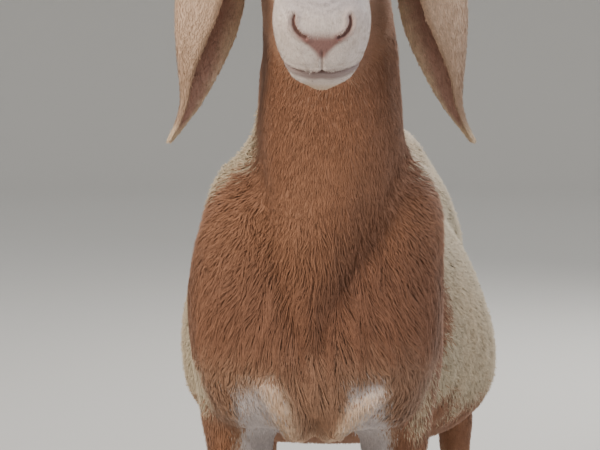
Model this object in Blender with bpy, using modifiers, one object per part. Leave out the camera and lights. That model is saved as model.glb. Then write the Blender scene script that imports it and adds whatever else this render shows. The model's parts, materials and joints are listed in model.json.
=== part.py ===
"""A life-size Arashan sheep that stands square with its head raised, in metres, with +Z up.

The nose points along -Y and the sheep's left side is on +X. The flesh is lofted from a few
sections, fused into one skin and parted with thin cuts where a sheep's parts have names.
Ears, eyes and hoof claws are pieces of their own.
"""

import math
import random
from collections import namedtuple

import bmesh
import bpy
from mathutils import Matrix, Vector
from mathutils.bvhtree import BVHTree

# Gap that touching nodes keep, and the reach of a cutter that only has to be longer than the flesh
GAP = 0.0003
FAR = 1.2

# Fineness of the fused flesh: voxel size, rounds of smoothing, and triangles kept after thinning
VOXEL = 0.006
BLENDING_ROUNDS = 80
LIMB_BLENDING = 0.065
HEAD_BLENDING = 0.09
BODY_TRIANGLES = 4700
HEAD_TRIANGLES = 2100

# Driving sizes of the animal
WITHERS_HEIGHT = 0.832
CROUP_HEIGHT = 0.790
CHEST_FLOOR = 0.418
RIB_HALF_WIDTH = 0.150
BELLY_HALF_WIDTH = 0.209
BELLY_ASIDE = 0.010
SHOULDER_HALF_WIDTH = 0.150
FORE_STANCE = 0.088
HIND_STANCE = 0.150
FORE_LEG_Y = -0.258
HIND_LEG_Y = 0.41
EYE_RADIUS = 0.0150
LID_THICKNESS = 0.0032
EYE_ALONG, EYE_ABOVE, EYE_ASIDE = 0.183, 0.043, 0.0512
EAR_THICKNESS = 0.0055
MOUTH_ABOVE = -0.0325
HOOF_CLEFT = 0.0040
HOOF_HALF_WIDTH = 0.0125
CORONET_HEIGHT = 0.041
CORONET_SLOPE = math.radians(17)

# The longer hair of the breast: how many locks lie side by side and one above another
LOCK_COLUMNS = 8
LOCK_ROWS = 6
LOCK_SPACING_DOWN = 0.033
LOCK_LENGTH = 0.054
LOCK_HALF_WIDTH = 0.0115
LOCK_THICKNESS = 0.0048

# The head lies along its own axis, from the nose tip back and up to the poll
NOSE_TIP = Vector((0, -0.577, 0.857))
HEAD_TILT = math.radians(30)
HEAD_BACK = Vector((0, math.cos(HEAD_TILT), math.sin(HEAD_TILT)))
HEAD_UP = Vector((0, -math.sin(HEAD_TILT), math.cos(HEAD_TILT)))

# The pose: hind legs and belly stand a little to the left, from behind the elbow to the thighs,
# and the flesh above them follows less and less
REAR_SWAY = 0.036
SWAY_START = -0.08
SWAY_LENGTH = 0.41
SWAY_TOP = 0.56
SWAY_FADE = 0.16

# The neck leans a little to the left, the head stands less far aside and turns left
NECK_LEAN = 0.019
HEAD_LEAN = 0.009
HEAD_TURN = math.radians(2.5)
HEAD_TURN_Y = -0.36

# The cuts behind the jaw and across the base of the neck lie on planes of this slope
THROAT = Vector((0, -0.370, 0.862))
NECK_BASE = Vector((0, -0.450, 0.612))
THROAT_SLOPE = math.radians(47.3)
THROAT_NORMAL = Vector((0, -math.sin(THROAT_SLOPE), math.cos(THROAT_SLOPE)))
THROAT_BLEND = 0.08
THROAT_SPARE = 0.03

# The boxes that part the rump and the left legs from the torso, by two of their corners
RUMP_BOX = ((-FAR / 4, 0.432, 0.40), (FAR / 4, FAR, FAR))
FORELEG_BOX = ((0.036, -0.36, -0.1), (0.30, -0.165, 0.436))
HIND_LEG_BOX = ((0.040, 0.222, -0.1), (0.30, FAR, 0.485))

ACROSS = Vector((1, 0, 0))
UP = Vector((0, 0, 1))
BACK = Vector((0, 1, 0))
SIDES = ((1, "left"), (-1, "right"))

# One cross-section of a loft: where it is, which way its upper half points, half its width,
# its reach above and below the centre, and how pointed those two halves are (1 is an ellipse)
Section = namedtuple("Section", "centre up width rise drop peak keel", defaults=(1.0, 1.0))


def smoothstep(value):
    """A smooth climb from 0 to 1 as value goes from 0 to 1."""
    t = min(1.0, max(0.0, value))
    return t * t * (3 - 2 * t)


def head_point(along, above, aside=0.0):
    """A point of the head, from its distances behind the nose tip, above the axis and aside."""
    return NOSE_TIP + HEAD_BACK * along + HEAD_UP * above + ACROSS * aside


def clear_scene():
    for thing in list(bpy.data.objects):
        bpy.data.objects.remove(thing)


def new_collection(name, hidden=False):
    collection = bpy.data.collections.new(name)
    bpy.context.scene.collection.children.link(collection)
    collection.hide_render = hidden
    return collection


def new_object(name, mesh, collection):
    thing = bpy.data.objects.new(name, mesh)
    collection.objects.link(thing)
    return thing


def object_from_bmesh(name, shape, collection):
    """Makes an object of a bmesh, with its faces turned outwards."""
    bmesh.ops.recalc_face_normals(shape, faces=shape.faces)
    mesh = bpy.data.meshes.new(name)
    shape.to_mesh(mesh)
    shape.free()
    return new_object(name, mesh, collection)


def apply_modifiers(thing):
    """Replaces the object's mesh by the one that its modifiers make."""
    graph = bpy.context.evaluated_depsgraph_get()
    graph.update()
    old = thing.data
    thing.data = bpy.data.meshes.new_from_object(thing.evaluated_get(graph))
    thing.modifiers.clear()
    bpy.data.meshes.remove(old)


def remove(thing):
    mesh = thing.data
    bpy.data.objects.remove(thing)
    bpy.data.meshes.remove(mesh)


def boolean(thing, operation, other):
    """Joins, cuts or crops the object with another one and keeps the result as its mesh."""
    modifier = thing.modifiers.new("boolean", "BOOLEAN")
    modifier.operation = operation
    modifier.solver = "MANIFOLD"
    modifier.object = other
    apply_modifiers(thing)


def unite(thing, pieces):
    """Joins closed pieces to the object in one union and removes them."""
    group = new_collection("union_pieces", hidden=True)
    for piece in pieces:
        for owner in list(piece.users_collection):
            owner.objects.unlink(piece)
        group.objects.link(piece)
    modifier = thing.modifiers.new("union", "BOOLEAN")
    modifier.operation = "UNION"
    modifier.solver = "MANIFOLD"
    modifier.operand_type = "COLLECTION"
    modifier.collection = group
    apply_modifiers(thing)
    for piece in list(group.objects):
        remove(piece)
    bpy.data.collections.remove(group)


def shells(shape):
    """The faces of a bmesh, sorted into its separate closed surfaces."""
    waiting = set(shape.faces)
    found = []
    while waiting:
        front = [waiting.pop()]
        shell = []
        while front:
            face = front.pop()
            shell.append(face)
            for edge in face.edges:
                for other in edge.link_faces:
                    if other in waiting:
                        waiting.discard(other)
                        front.append(other)
        found.append(shell)
    return found


def shell_size(shell):
    """Six times the volume inside a closed surface of triangles."""
    total = 0.0
    for face in shell:
        first = face.verts[0].co
        for second, third in zip(face.verts[1:-1], face.verts[2:]):
            total += first.dot(second.co.cross(third.co))
    return total


def keep_largest(thing):
    """Drops sealed hollows and loose scraps, and leaves the largest closed surface."""
    shape = bmesh.new()
    shape.from_mesh(thing.data)
    parts = sorted(shells(shape), key=shell_size)
    spare = [face for shell in parts[:-1] for face in shell]
    bmesh.ops.delete(shape, geom=spare, context="FACES")
    bmesh.ops.dissolve_degenerate(shape, dist=1e-6, edges=shape.edges)
    bmesh.ops.triangulate(shape, faces=shape.faces)
    shape.to_mesh(thing.data)
    shape.free()


def box(name, low, high, collection, turn=None, pivot=None):
    """A closed box between two corners, turned about a pivot where a turn is given."""
    shape = bmesh.new()
    size = Vector(high) - Vector(low)
    middle = (Vector(high) + Vector(low)) / 2
    bmesh.ops.create_cube(shape, size=1.0)
    bmesh.ops.scale(shape, vec=size, verts=shape.verts)
    bmesh.ops.translate(shape, vec=middle, verts=shape.verts)
    if turn is not None:
        bmesh.ops.rotate(shape, cent=pivot, matrix=turn, verts=shape.verts)
    return object_from_bmesh(name, shape, collection)


def ellipsoid(name, centre, radii, collection, tilt=0.0, segments=24):
    """An ellipsoid, tilted about X by an angle that raises its rear end."""
    shape = bmesh.new()
    bmesh.ops.create_uvsphere(shape, u_segments=segments, v_segments=segments // 2, radius=1.0)
    bmesh.ops.scale(shape, vec=radii, verts=shape.verts)
    bmesh.ops.rotate(shape, matrix=Matrix.Rotation(tilt, 3, "X"), verts=shape.verts)
    bmesh.ops.translate(shape, vec=centre, verts=shape.verts)
    return object_from_bmesh(name, shape, collection)


def section_ring(section, sides):
    """The points of one section, as an ellipse whose two halves may differ."""
    points = []
    for step in range(sides):
        angle = math.tau * step / sides
        aside, above = math.cos(angle), math.sin(angle)
        power = section.peak if above > 0 else section.keel
        reach = section.rise if above > 0 else section.drop
        width = math.copysign(abs(aside) ** power, aside) * section.width
        points.append(section.centre + ACROSS * width + section.up * (above * reach))
    return points


def catmull(a, b, c, d, t):
    """The value at t between b and c on a smooth curve through four values."""
    return b + (c - a) * (t / 2) + (2 * a - 5 * b + 4 * c - d) * (t * t / 2) + (
        (3 * b - a - 3 * c + d) * (t**3 / 2)
    )


def between_sections(sections, steps):
    """The sections with smooth ones put between them."""
    last = len(sections) - 1
    filled = []
    for index in range(last):
        four = [sections[min(last, max(0, index + shift))] for shift in (-1, 0, 1, 2)]
        for step in range(steps):
            values = [catmull(*values, step / steps) for values in zip(*four)]
            values[1] = values[1].normalized()
            filled.append(Section(*values))
    filled.append(sections[last])
    return filled


def loft(name, sections, collection, sides=28, steps=4):
    """A closed tube through the sections, with its ends closed by fans."""
    shape = bmesh.new()
    filled = between_sections(sections, steps)
    rings = [[shape.verts.new(p) for p in section_ring(s, sides)] for s in filled]
    for near, far in zip(rings, rings[1:]):
        for k in range(sides):
            after = (k + 1) % sides
            shape.faces.new((near[k], near[after], far[after], far[k]))
    for ring, section in ((rings[0], filled[0]), (rings[-1], filled[-1])):
        tip = shape.verts.new(section.centre)
        for k in range(sides):
            shape.faces.new((ring[k], ring[(k + 1) % sides], tip))
    return object_from_bmesh(name, shape, collection)


def trunk_station(y, top, floor, width, widest, peak=1.0, keel=1.0, aside=0.0):
    """An upright section of the trunk, from its heights and half its width."""
    middle = Vector((aside, y, widest))
    return Section(middle, UP, width, top - widest, widest - floor, peak, keel)


def torso_loft(collection):
    """The rib cage and the loins, from the brisket to the pin bones."""
    shoulder, ribs = SHOULDER_HALF_WIDTH, RIB_HALF_WIDTH
    return loft(
        "torso",
        [
            trunk_station(-0.430, 0.580, 0.480, 0.045, 0.525),
            trunk_station(-0.410, 0.635, 0.448, 0.082, 0.525),
            trunk_station(-0.370, 0.705, 0.426, 0.76 * shoulder, 0.530),
            trunk_station(-0.310, 0.770, CHEST_FLOOR, 0.93 * shoulder, 0.545, 1.3),
            trunk_station(-0.210, WITHERS_HEIGHT, CHEST_FLOOR, shoulder, 0.555, 1.7),
            trunk_station(-0.095, WITHERS_HEIGHT - 0.005, 0.404, ribs, 0.555, 1.6),
            trunk_station(0.030, WITHERS_HEIGHT - 0.022, 0.395, ribs, 0.560, 1.4),
            trunk_station(0.145, WITHERS_HEIGHT - 0.033, 0.400, 0.98 * ribs, 0.565, 1.2),
            trunk_station(0.255, CROUP_HEIGHT + 0.002, 0.430, 1.00 * ribs, 0.590, 1.25),
            trunk_station(0.350, CROUP_HEIGHT, 0.480, 1.02 * ribs, 0.605, 1.4),
            trunk_station(0.430, CROUP_HEIGHT - 0.010, 0.505, 1.02 * ribs, 0.605, 1.4),
            trunk_station(0.500, CROUP_HEIGHT - 0.045, 0.525, 0.90 * ribs, 0.610, 1.2),
            trunk_station(0.545, CROUP_HEIGHT - 0.110, 0.570, 0.55 * ribs, 0.620),
        ],
        collection,
    )


def belly_loft(collection):
    """The full belly, which hangs low and bulges more on the left, over the rumen."""
    width, aside = BELLY_HALF_WIDTH, BELLY_ASIDE
    return loft(
        "belly",
        [
            trunk_station(-0.250, 0.600, 0.430, 0.58 * width, 0.500, 1.3, 0.8, 0.2 * aside),
            trunk_station(-0.190, 0.660, 0.410, 0.68 * width, 0.492, 1.5, 0.7, 0.3 * aside),
            trunk_station(-0.125, 0.710, 0.384, 0.78 * width, 0.480, 1.5, 0.65, 0.6 * aside),
            trunk_station(-0.055, 0.735, 0.355, 0.90 * width, 0.466, 1.5, 0.6, 0.9 * aside),
            trunk_station(0.030, 0.740, 0.333, width, 0.456, 1.5, 0.55, aside),
            trunk_station(0.120, 0.740, 0.331, width, 0.460, 1.5, 0.55, aside),
            trunk_station(0.195, 0.735, 0.350, 0.93 * width, 0.480, 1.5, 0.6, 0.9 * aside),
            trunk_station(0.265, 0.720, 0.396, 0.82 * width, 0.512, 1.4, 0.75, 0.6 * aside),
            trunk_station(0.335, 0.690, 0.455, 0.66 * width, 0.545, 1.3, 0.9, 0.3 * aside),
        ],
        collection,
        sides=32,
    )


def neck_loft(collection):
    """The neck, which stands nearly upright and runs down as a keel into the brisket."""

    def station(y, z, lean, width, nape, throat, keel=1.0):
        angle = math.radians(lean)
        up = Vector((0, math.cos(angle), math.sin(angle)))
        return Section(Vector((0, y, z)), up, width, nape, throat, 1.15, keel)

    return loft(
        "neck",
        [
            station(-0.310, 0.490, 0, 0.020, 0.05, 0.116),
            station(-0.306, 0.560, 0, 0.042, 0.09, 0.134, 1.05),
            station(-0.300, 0.630, 5, 0.065, 0.10, 0.144, 0.95),
            station(-0.298, 0.700, 12, 0.083, 0.115, 0.140, 0.85),
            station(-0.305, 0.770, 20, 0.085, 0.115, 0.124, 0.80),
            station(-0.312, 0.840, 28, 0.081, 0.104, 0.102, 0.82),
            station(-0.322, 0.900, 36, 0.076, 0.094, 0.082, 0.90),
            station(-0.334, 0.950, 42, 0.068, 0.086, 0.060),
            station(-0.352, 0.990, 48, 0.050, 0.072, 0.045),
            station(-0.372, 1.015, 52, 0.030, 0.040, 0.030),
        ],
        collection,
    )


def head_loft(collection):
    """The skull and muzzle: a Roman nose, deep cheeks and a narrower chin."""

    def station(along, top, floor, width, widest=0.0, peak=1.0, keel=1.0):
        middle = head_point(along, widest)
        return Section(middle, HEAD_UP, width, top - widest, widest - floor, peak, keel)

    return loft(
        "head",
        [
            station(0.000, 0.018, -0.026, 0.024, 0.004),
            station(0.006, 0.031, -0.044, 0.0365, 0.010, 0.92, 1.1),
            station(0.020, 0.043, -0.056, 0.0460, 0.014, 0.90, 1.3),
            station(0.040, 0.053, -0.060, 0.0485, 0.014, 0.92, 1.35),
            station(0.064, 0.063, -0.059, 0.0480, 0.012, 0.98, 1.25),
            station(0.094, 0.075, -0.060, 0.0480, 0.010, 1.05, 1.1),
            station(0.130, 0.087, -0.068, 0.0530, 0.008, 1.1, 0.95),
            station(0.170, 0.095, -0.082, 0.0620, 0.008, 1.02, 0.90),
            station(0.210, 0.095, -0.094, 0.0680, 0.004, 0.95, 0.88),
            station(0.250, 0.084, -0.094, 0.0665, 0.000),
            station(0.284, 0.064, -0.074, 0.0560),
            station(0.304, 0.036, -0.044, 0.0360),
        ],
        collection,
    )


def fore_leg_loft(side, collection):
    """One foreleg from inside the shoulder down past the coronet."""

    def station(aside, y, z, width, fore, rear):
        return Section(
            Vector((side * (FORE_STANCE + aside), FORE_LEG_Y + y, z)), BACK, width, rear, fore
        )

    return loft(
        f"fore_leg_{side}",
        [
            station(0.006, -0.005, 0.640, 0.030, 0.05, 0.05),
            station(0.008, -0.005, 0.560, 0.050, 0.085, 0.075),
            station(0.006, 0.002, 0.480, 0.052, 0.076, 0.072),
            station(0.003, 0.006, 0.425, 0.047, 0.060, 0.058),
            station(0.001, 0.000, 0.365, 0.0365, 0.043, 0.042),
            station(0.000, -0.004, 0.310, 0.0290, 0.031, 0.030),
            station(0.000, -0.006, 0.272, 0.0300, 0.032, 0.031),
            station(0.000, -0.003, 0.240, 0.0250, 0.025, 0.027),
            station(0.000, 0.000, 0.175, 0.0205, 0.0215, 0.0235),
            station(0.000, 0.001, 0.120, 0.0215, 0.0220, 0.0250),
            station(0.000, -0.004, 0.094, 0.0250, 0.0255, 0.0300),
            station(0.000, -0.018, 0.066, 0.0230, 0.0225, 0.0240),
            station(0.000, -0.028, 0.044, 0.0275, 0.0290, 0.0290),
            station(0.000, -0.030, 0.020, 0.0230, 0.0260, 0.0250),
        ],
        collection,
        sides=20,
    )


def hind_leg_loft(side, collection):
    """One hind leg: thigh, stifle, hock, cannon and pastern."""

    def station(aside, y, z, width, fore, rear):
        return Section(
            Vector((side * (HIND_STANCE + aside), HIND_LEG_Y + y, z)), BACK, width, rear, fore
        )

    return loft(
        f"hind_leg_{side}",
        [
            station(-0.080, -0.085, 0.745, 0.040, 0.09, 0.08),
            station(-0.062, -0.090, 0.685, 0.062, 0.130, 0.110),
            station(-0.040, -0.095, 0.615, 0.076, 0.145, 0.122),
            station(-0.026, -0.102, 0.535, 0.071, 0.132, 0.112),
            station(-0.014, -0.080, 0.455, 0.055, 0.088, 0.078),
            station(-0.005, -0.038, 0.378, 0.038, 0.053, 0.055),
            station(0.000, -0.004, 0.318, 0.0275, 0.033, 0.043),
            station(0.000, 0.010, 0.282, 0.0285, 0.035, 0.038),
            station(0.000, 0.010, 0.245, 0.0250, 0.030, 0.030),
            station(0.000, 0.002, 0.180, 0.0210, 0.0240, 0.0245),
            station(0.000, -0.002, 0.120, 0.0220, 0.0235, 0.0260),
            station(0.000, -0.008, 0.094, 0.0255, 0.0265, 0.0305),
            station(0.000, -0.022, 0.066, 0.0235, 0.0235, 0.0245),
            station(0.000, -0.032, 0.044, 0.0275, 0.0290, 0.0290),
            station(0.000, -0.034, 0.020, 0.0230, 0.0260, 0.0250),
        ],
        collection,
        sides=20,
    )


def flesh_pieces(collection):
    """All closed shapes that are fused into the skin."""
    pieces = [torso_loft(collection), belly_loft(collection)]
    pieces += [neck_loft(collection), head_loft(collection)]
    # The chin under the lower lip, and the small udder between the thighs
    pieces.append(
        ellipsoid(
            "chin", head_point(0.036, -0.050), (0.026, 0.028, 0.017), collection, HEAD_TILT
        )
    )
    pieces.append(ellipsoid("udder", (0, 0.290, 0.445), (0.058, 0.062, 0.046), collection))
    for side, _ in SIDES:
        pieces.append(fore_leg_loft(side, collection))
        pieces.append(hind_leg_loft(side, collection))
        # Shoulder blade and its muscle, which runs forward to the point of the shoulder
        pieces.append(
            ellipsoid(
                f"shoulder_{side}",
                (side * 0.086, -0.312, 0.585),
                (0.062, 0.096, 0.165),
                collection,
                math.radians(-16),
            )
        )
        # Brow over the eye
        pieces.append(
            ellipsoid(
                f"brow_{side}",
                head_point(0.182, 0.046, side * 0.043),
                (0.021, 0.031, 0.022),
                collection,
                HEAD_TILT,
            )
        )
        # One lobe of the fat rump, which hides the short tail between the two
        pieces.append(
            ellipsoid(
                f"rump_{side}",
                (side * 0.070, 0.455, 0.596),
                (0.088, 0.118, 0.148),
                collection,
                math.radians(16),
            )
        )
    return pieces


def blending_at(point):
    """How much a point of the fused skin is smoothed: least on the limbs and the head."""
    limb = 1 - smoothstep((point.z - 0.36) / 0.12)
    head = smoothstep((-0.37 - point.y) / 0.05) * smoothstep((point.z - 0.80) / 0.05)
    amount = 1 + (LIMB_BLENDING - 1) * limb
    return amount + (HEAD_BLENDING - amount) * head


def fuse(name, pieces):
    """Fuses closed shapes into one smooth skin."""
    skin = pieces[0]
    unite(skin, pieces[1:])
    remesh = skin.modifiers.new("remesh", "REMESH")
    remesh.mode = "VOXEL"
    remesh.voxel_size = VOXEL
    apply_modifiers(skin)
    group = skin.vertex_groups.new(name="blending")
    for vertex in skin.data.vertices:
        group.add([vertex.index], blending_at(vertex.co), "REPLACE")
    smooth = skin.modifiers.new("smooth", "SMOOTH")
    smooth.factor = 0.5
    smooth.iterations = BLENDING_ROUNDS
    smooth.vertex_group = group.name
    apply_modifiers(skin)
    skin.vertex_groups.clear()
    skin.name = name
    keep_largest(skin)
    return skin


def sway_rear(skin):
    """Moves the hind legs and the belly to the left, smoothly from the elbow and from the back."""
    for vertex in skin.data.vertices:
        along = smoothstep((vertex.co.y - SWAY_START) / SWAY_LENGTH)
        low = smoothstep((SWAY_TOP - vertex.co.z) / SWAY_FADE)
        vertex.co.x += REAR_SWAY * along * low


def thin_out(thing, triangles):
    """Collapses the mesh to about that many triangles."""
    thing.data.calc_loop_triangles()
    decimate = thing.modifiers.new("decimate", "DECIMATE")
    decimate.ratio = min(1.0, triangles / len(thing.data.loop_triangles))
    apply_modifiers(thing)
    keep_largest(thing)


def take_inside(name, source, cutter, wider_cutter, collection):
    """Parts what lies inside the cutter from the source, which keeps the gap to it."""
    part = new_object(name, source.data.copy(), collection)
    boolean(part, "INTERSECT", cutter)
    boolean(source, "DIFFERENCE", wider_cutter)
    keep_largest(part)
    keep_largest(source)
    return part


def box_pair(low, high, collection, turn=None, pivot=None):
    """A box and the same box grown by the gap on every side."""
    grow = Vector((GAP, GAP, GAP))
    low, high = Vector(low), Vector(high)
    return (
        box("cutter", low, high, collection, turn, pivot),
        box("wider_cutter", low - grow, high + grow, collection, turn, pivot),
    )


def feet():
    """The name of each leg, and the point of the floor under the middle of its coronet."""
    for side, word in SIDES:
        yield f"foreleg_{word}", Vector((side * FORE_STANCE, FORE_LEG_Y - 0.028, 0))
        hind = side * HIND_STANCE + REAR_SWAY
        yield f"hind_leg_{word}", Vector((hind, HIND_LEG_Y - 0.032, 0))


def coronet_box(foot, shift, collection):
    """A box whose sloping top is the plane between a leg and its hoof."""
    pivot = foot + UP * (CORONET_HEIGHT + shift)
    return box(
        "cutter",
        pivot + Vector((-0.05, -0.15, -0.2)),
        pivot + Vector((0.05, 0.15, 0)),
        collection,
        Matrix.Rotation(-CORONET_SLOPE, 3, "X"),
        pivot,
    )


def throat_boxes(pivot, collection):
    """A pair of boxes over a plane that crosses the neck at a slant through the pivot."""
    return box_pair(
        pivot + Vector((-FAR / 4, -FAR / 2, 0)),
        pivot + Vector((FAR / 4, FAR / 2, FAR)),
        collection,
        Matrix.Rotation(THROAT_SLOPE, 3, "X"),
        pivot,
    )


def part_head(skin, parts, cutters):
    """The head, which keeps finer triangles than the rest of the skin."""
    head = new_object("head", skin.data.copy(), parts)
    boolean(head, "INTERSECT", throat_boxes(THROAT - UP * THROAT_SPARE, cutters)[0])
    thin_out(head, HEAD_TRIANGLES)
    inner, outer = throat_boxes(THROAT, cutters)
    boolean(head, "INTERSECT", inner)
    keep_largest(head)
    thin_out(skin, BODY_TRIANGLES)
    boolean(skin, "DIFFERENCE", outer)
    keep_largest(skin)
    return head


def part_flesh(skin, parts, cutters):
    """Parts the skin into head, neck, rump, legs and torso."""
    found = {"head": part_head(skin, parts, cutters)}
    pair = throat_boxes(NECK_BASE, cutters)
    found["neck"] = take_inside("neck", skin, *pair, parts)
    found["fat_rump"] = take_inside("fat_rump", skin, *box_pair(*RUMP_BOX, cutters), parts)
    for side, word in SIDES:
        for leg, (low, high), aside in (
            ("foreleg", FORELEG_BOX, 0.0),
            ("hind_leg", HIND_LEG_BOX, REAR_SWAY),
        ):
            name = f"{leg}_{word}"
            inner, outer = sorted((side * low[0] + aside, side * high[0] + aside))
            pair = box_pair((inner, *low[1:]), (outer, *high[1:]), cutters)
            found[name] = take_inside(name, skin, *pair, parts)
    skin.name = "torso"
    found["torso"] = skin
    for name, foot in feet():
        boolean(found[name], "DIFFERENCE", coronet_box(foot, 0, cutters))
        keep_largest(found[name])
    return found


def sweep(name, rings, collection):
    """A closed tube through rings of points that are given one by one."""
    shape = bmesh.new()
    rows = [[shape.verts.new(point) for point in ring] for ring in rings]
    for near, far in zip(rows, rows[1:]):
        for k in range(len(near)):
            after = (k + 1) % len(near)
            shape.faces.new((near[k], near[after], far[after], far[k]))
    shape.faces.new(rows[0])
    shape.faces.new(reversed(rows[-1]))
    bmesh.ops.triangulate(shape, faces=shape.faces)
    return object_from_bmesh(name, shape, collection)


def surface_tree(thing):
    """A search tree over the faces of an object whose mesh is in place."""
    points = [vertex.co.copy() for vertex in thing.data.vertices]
    return BVHTree.FromPolygons(points, [tuple(face.vertices) for face in thing.data.polygons])


def groove(name, tree, rays, half_width, depth, collection):
    """A cutter that follows the skin where the rays meet it, pinched at both ends."""
    met = [tree.ray_cast(start, heading)[:2] for start, heading in rays]
    met = [(point, normal) for point, normal in met if point is not None]
    rings = []
    for index, (point, normal) in enumerate(met):
        before = met[max(0, index - 1)][0]
        after = met[min(len(met) - 1, index + 1)][0]
        beside = (after - before).cross(normal).normalized()
        full = 0.25 + 0.75 * abs(math.sin(math.pi * index / (len(met) - 1))) ** 0.6
        ring = []
        for step in range(8):
            angle = math.tau * step / 8
            out = math.sin(angle)
            lift = 0.004 * out if out > 0 else depth * full * out
            ring.append(point + beside * (math.cos(angle) * half_width * full) + normal * lift)
        rings.append(ring)
    return sweep(name, rings, collection)


def nostril_rays(side):
    """Rays from the front that trace one comma-shaped nostril, from its top to the nose pad."""
    trace = (
        (0.0285, 0.0380),
        (0.0298, 0.0310),
        (0.0295, 0.0240),
        (0.0272, 0.0175),
        (0.0232, 0.0130),
        (0.0182, 0.0100),
    )
    for aside, above in trace:
        yield head_point(-0.05, above, side * aside), HEAD_BACK


def mouth_rays():
    """Rays from all round that trace the line between the lips, from corner to corner."""
    steps = 22
    reach = math.radians(118)
    for step in range(steps + 1):
        angle = -reach + 2 * reach * step / steps
        middle = head_point(0.052, MOUTH_ABOVE + 0.003 * (1 - math.cos(angle)))
        start = middle + 0.2 * (ACROSS * math.sin(angle) - HEAD_BACK * math.cos(angle))
        yield start, middle - start


def philtrum_rays():
    """Rays from the front that trace the split from the nose pad down to the lips."""
    for step in range(7):
        above = -0.006 - 0.0245 * step / 6
        yield head_point(-0.05, above), HEAD_BACK


def eye_centre(side):
    return head_point(EYE_ALONG, EYE_ABOVE, side * EYE_ASIDE)


def eye_axis(side):
    """The way an eye looks: out to the side, a little forward and up."""
    return Vector((side * 0.92, -0.34, 0.16)).normalized()


def face_sphere(name, side, radii, outwards, collection):
    """An ellipsoid on an eye's axis, with its radii outwards, along the lids and across them."""
    axis = eye_axis(side)
    along = (HEAD_BACK - axis * axis.dot(HEAD_BACK)).normalized()
    across = axis.cross(along)
    thing = ellipsoid(name, (0, 0, 0), radii, collection, segments=16)
    basis = Matrix((axis, along, across)).transposed().to_4x4()
    thing.data.transform(Matrix.Translation(eye_centre(side) + axis * outwards) @ basis)
    shape = bmesh.new()
    shape.from_mesh(thing.data)
    bmesh.ops.recalc_face_normals(shape, faces=shape.faces)
    shape.to_mesh(thing.data)
    shape.free()
    return thing


def carve_face(head, parts, cutters):
    """Lids round open eyes, nostrils, the split lip and the line of the mouth."""
    for side, word in SIDES:
        lid_radius = EYE_RADIUS + LID_THICKNESS
        lids = face_sphere("lids", side, (lid_radius, 0.0205, 0.0170), 0.0, parts)
        opening = face_sphere("opening", side, (0.014, 0.0135, 0.0082), 0.016, cutters)
        socket = face_sphere("socket", side, (EYE_RADIUS + GAP,) * 3, 0.0, cutters)
        boolean(lids, "DIFFERENCE", opening)
        unite(head, [lids])
        boolean(head, "DIFFERENCE", socket)
        face_sphere(f"eye_{word}", side, (EYE_RADIUS,) * 3, 0.0, parts)
    tree = surface_tree(head)
    grooves = [groove("mouth", tree, mouth_rays(), 0.0012, 0.0065, cutters)]
    grooves.append(groove("philtrum", tree, philtrum_rays(), 0.0010, 0.0030, cutters))
    for side, _ in SIDES:
        grooves.append(groove("nostril", tree, nostril_rays(side), 0.0024, 0.0100, cutters))
    for cutter in grooves:
        boolean(head, "DIFFERENCE", cutter)
    keep_largest(head)


# The ear, station by station: the outer fold (x, z), the inner edge (x, z), how far the front
# flap reaches towards the inner edge, and half the room between the two flaps
EAR_STATIONS = (
    ((0.056, 1.010), (0.056, 0.978), 1.00, 0.013),
    ((0.086, 1.020), (0.067, 0.968), 0.96, 0.019),
    ((0.116, 1.008), (0.074, 0.954), 0.90, 0.023),
    ((0.139, 0.980), (0.079, 0.936), 0.82, 0.024),
    ((0.152, 0.942), (0.083, 0.912), 0.74, 0.023),
    ((0.156, 0.898), (0.089, 0.882), 0.66, 0.020),
    ((0.155, 0.858), (0.100, 0.852), 0.53, 0.016),
    ((0.152, 0.824), (0.115, 0.822), 0.38, 0.012),
    ((0.151, 0.799), (0.128, 0.799), 0.34, 0.008),
    ((0.156, 0.778), (0.143, 0.778), 0.40, 0.005),
    ((0.166, 0.757), (0.161, 0.756), 0.60, 0.002),
)
EAR_Y = -0.376
EAR_SWING = 0.016
EAR_COLUMNS = 5


def ear_rows():
    """The stations of the ear with one smooth station put between each two."""
    flat = [(*fold, *edge, front, room) for fold, edge, front, room in EAR_STATIONS]
    last = len(flat) - 1
    for index in range(last):
        four = [flat[min(last, max(0, index + shift))] for shift in (-1, 0, 1, 2)]
        for step in range(2):
            yield [catmull(*values, step / 2) for values in zip(*four)]
    yield list(flat[last])


def ear(side, word, head, parts, cutters):
    """A long hanging ear, folded lengthwise into a trough whose opening faces the cheek."""
    shape = bmesh.new()
    rows = []
    for fold_x, fold_z, edge_x, edge_z, front, room in ear_rows():
        y = EAR_Y - EAR_SWING * (EAR_STATIONS[0][0][1] - fold_z) / 0.26
        fold = Vector((fold_x, y, fold_z))
        inward = Vector((edge_x - fold_x, 0, edge_z - fold_z))
        row = []
        for column in range(EAR_COLUMNS + 1):
            turn = math.pi / 2 * (2 * column / EAR_COLUMNS - 1)
            reach = (front if turn < 0 else 1.0) * (1 - math.cos(turn))
            point = fold + inward * reach + BACK * (room * math.sin(turn))
            row.append(shape.verts.new(Vector((side * point.x, point.y, point.z))))
        rows.append(row)
    for near, far in zip(rows, rows[1:]):
        for k in range(EAR_COLUMNS):
            shape.faces.new((near[k], near[k + 1], far[k + 1], far[k]))
    bmesh.ops.triangulate(shape, faces=shape.faces)
    thing = object_from_bmesh(f"ear_{word}", shape, parts)
    solidify = thing.modifiers.new("thickness", "SOLIDIFY")
    solidify.thickness = EAR_THICKNESS
    solidify.offset = 0
    apply_modifiers(thing)
    root = ellipsoid("root", (side * 0.072, EAR_Y, 0.994), (0.026, 0.018, 0.024), parts)
    unite(thing, [root])
    swollen = new_object("swollen_head", head.data.copy(), cutters)
    swell = swollen.modifiers.new("swell", "DISPLACE")
    swell.mid_level = 0
    swell.strength = GAP
    apply_modifiers(swollen)
    boolean(thing, "DIFFERENCE", swollen)
    keep_largest(thing)
    return thing


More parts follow.
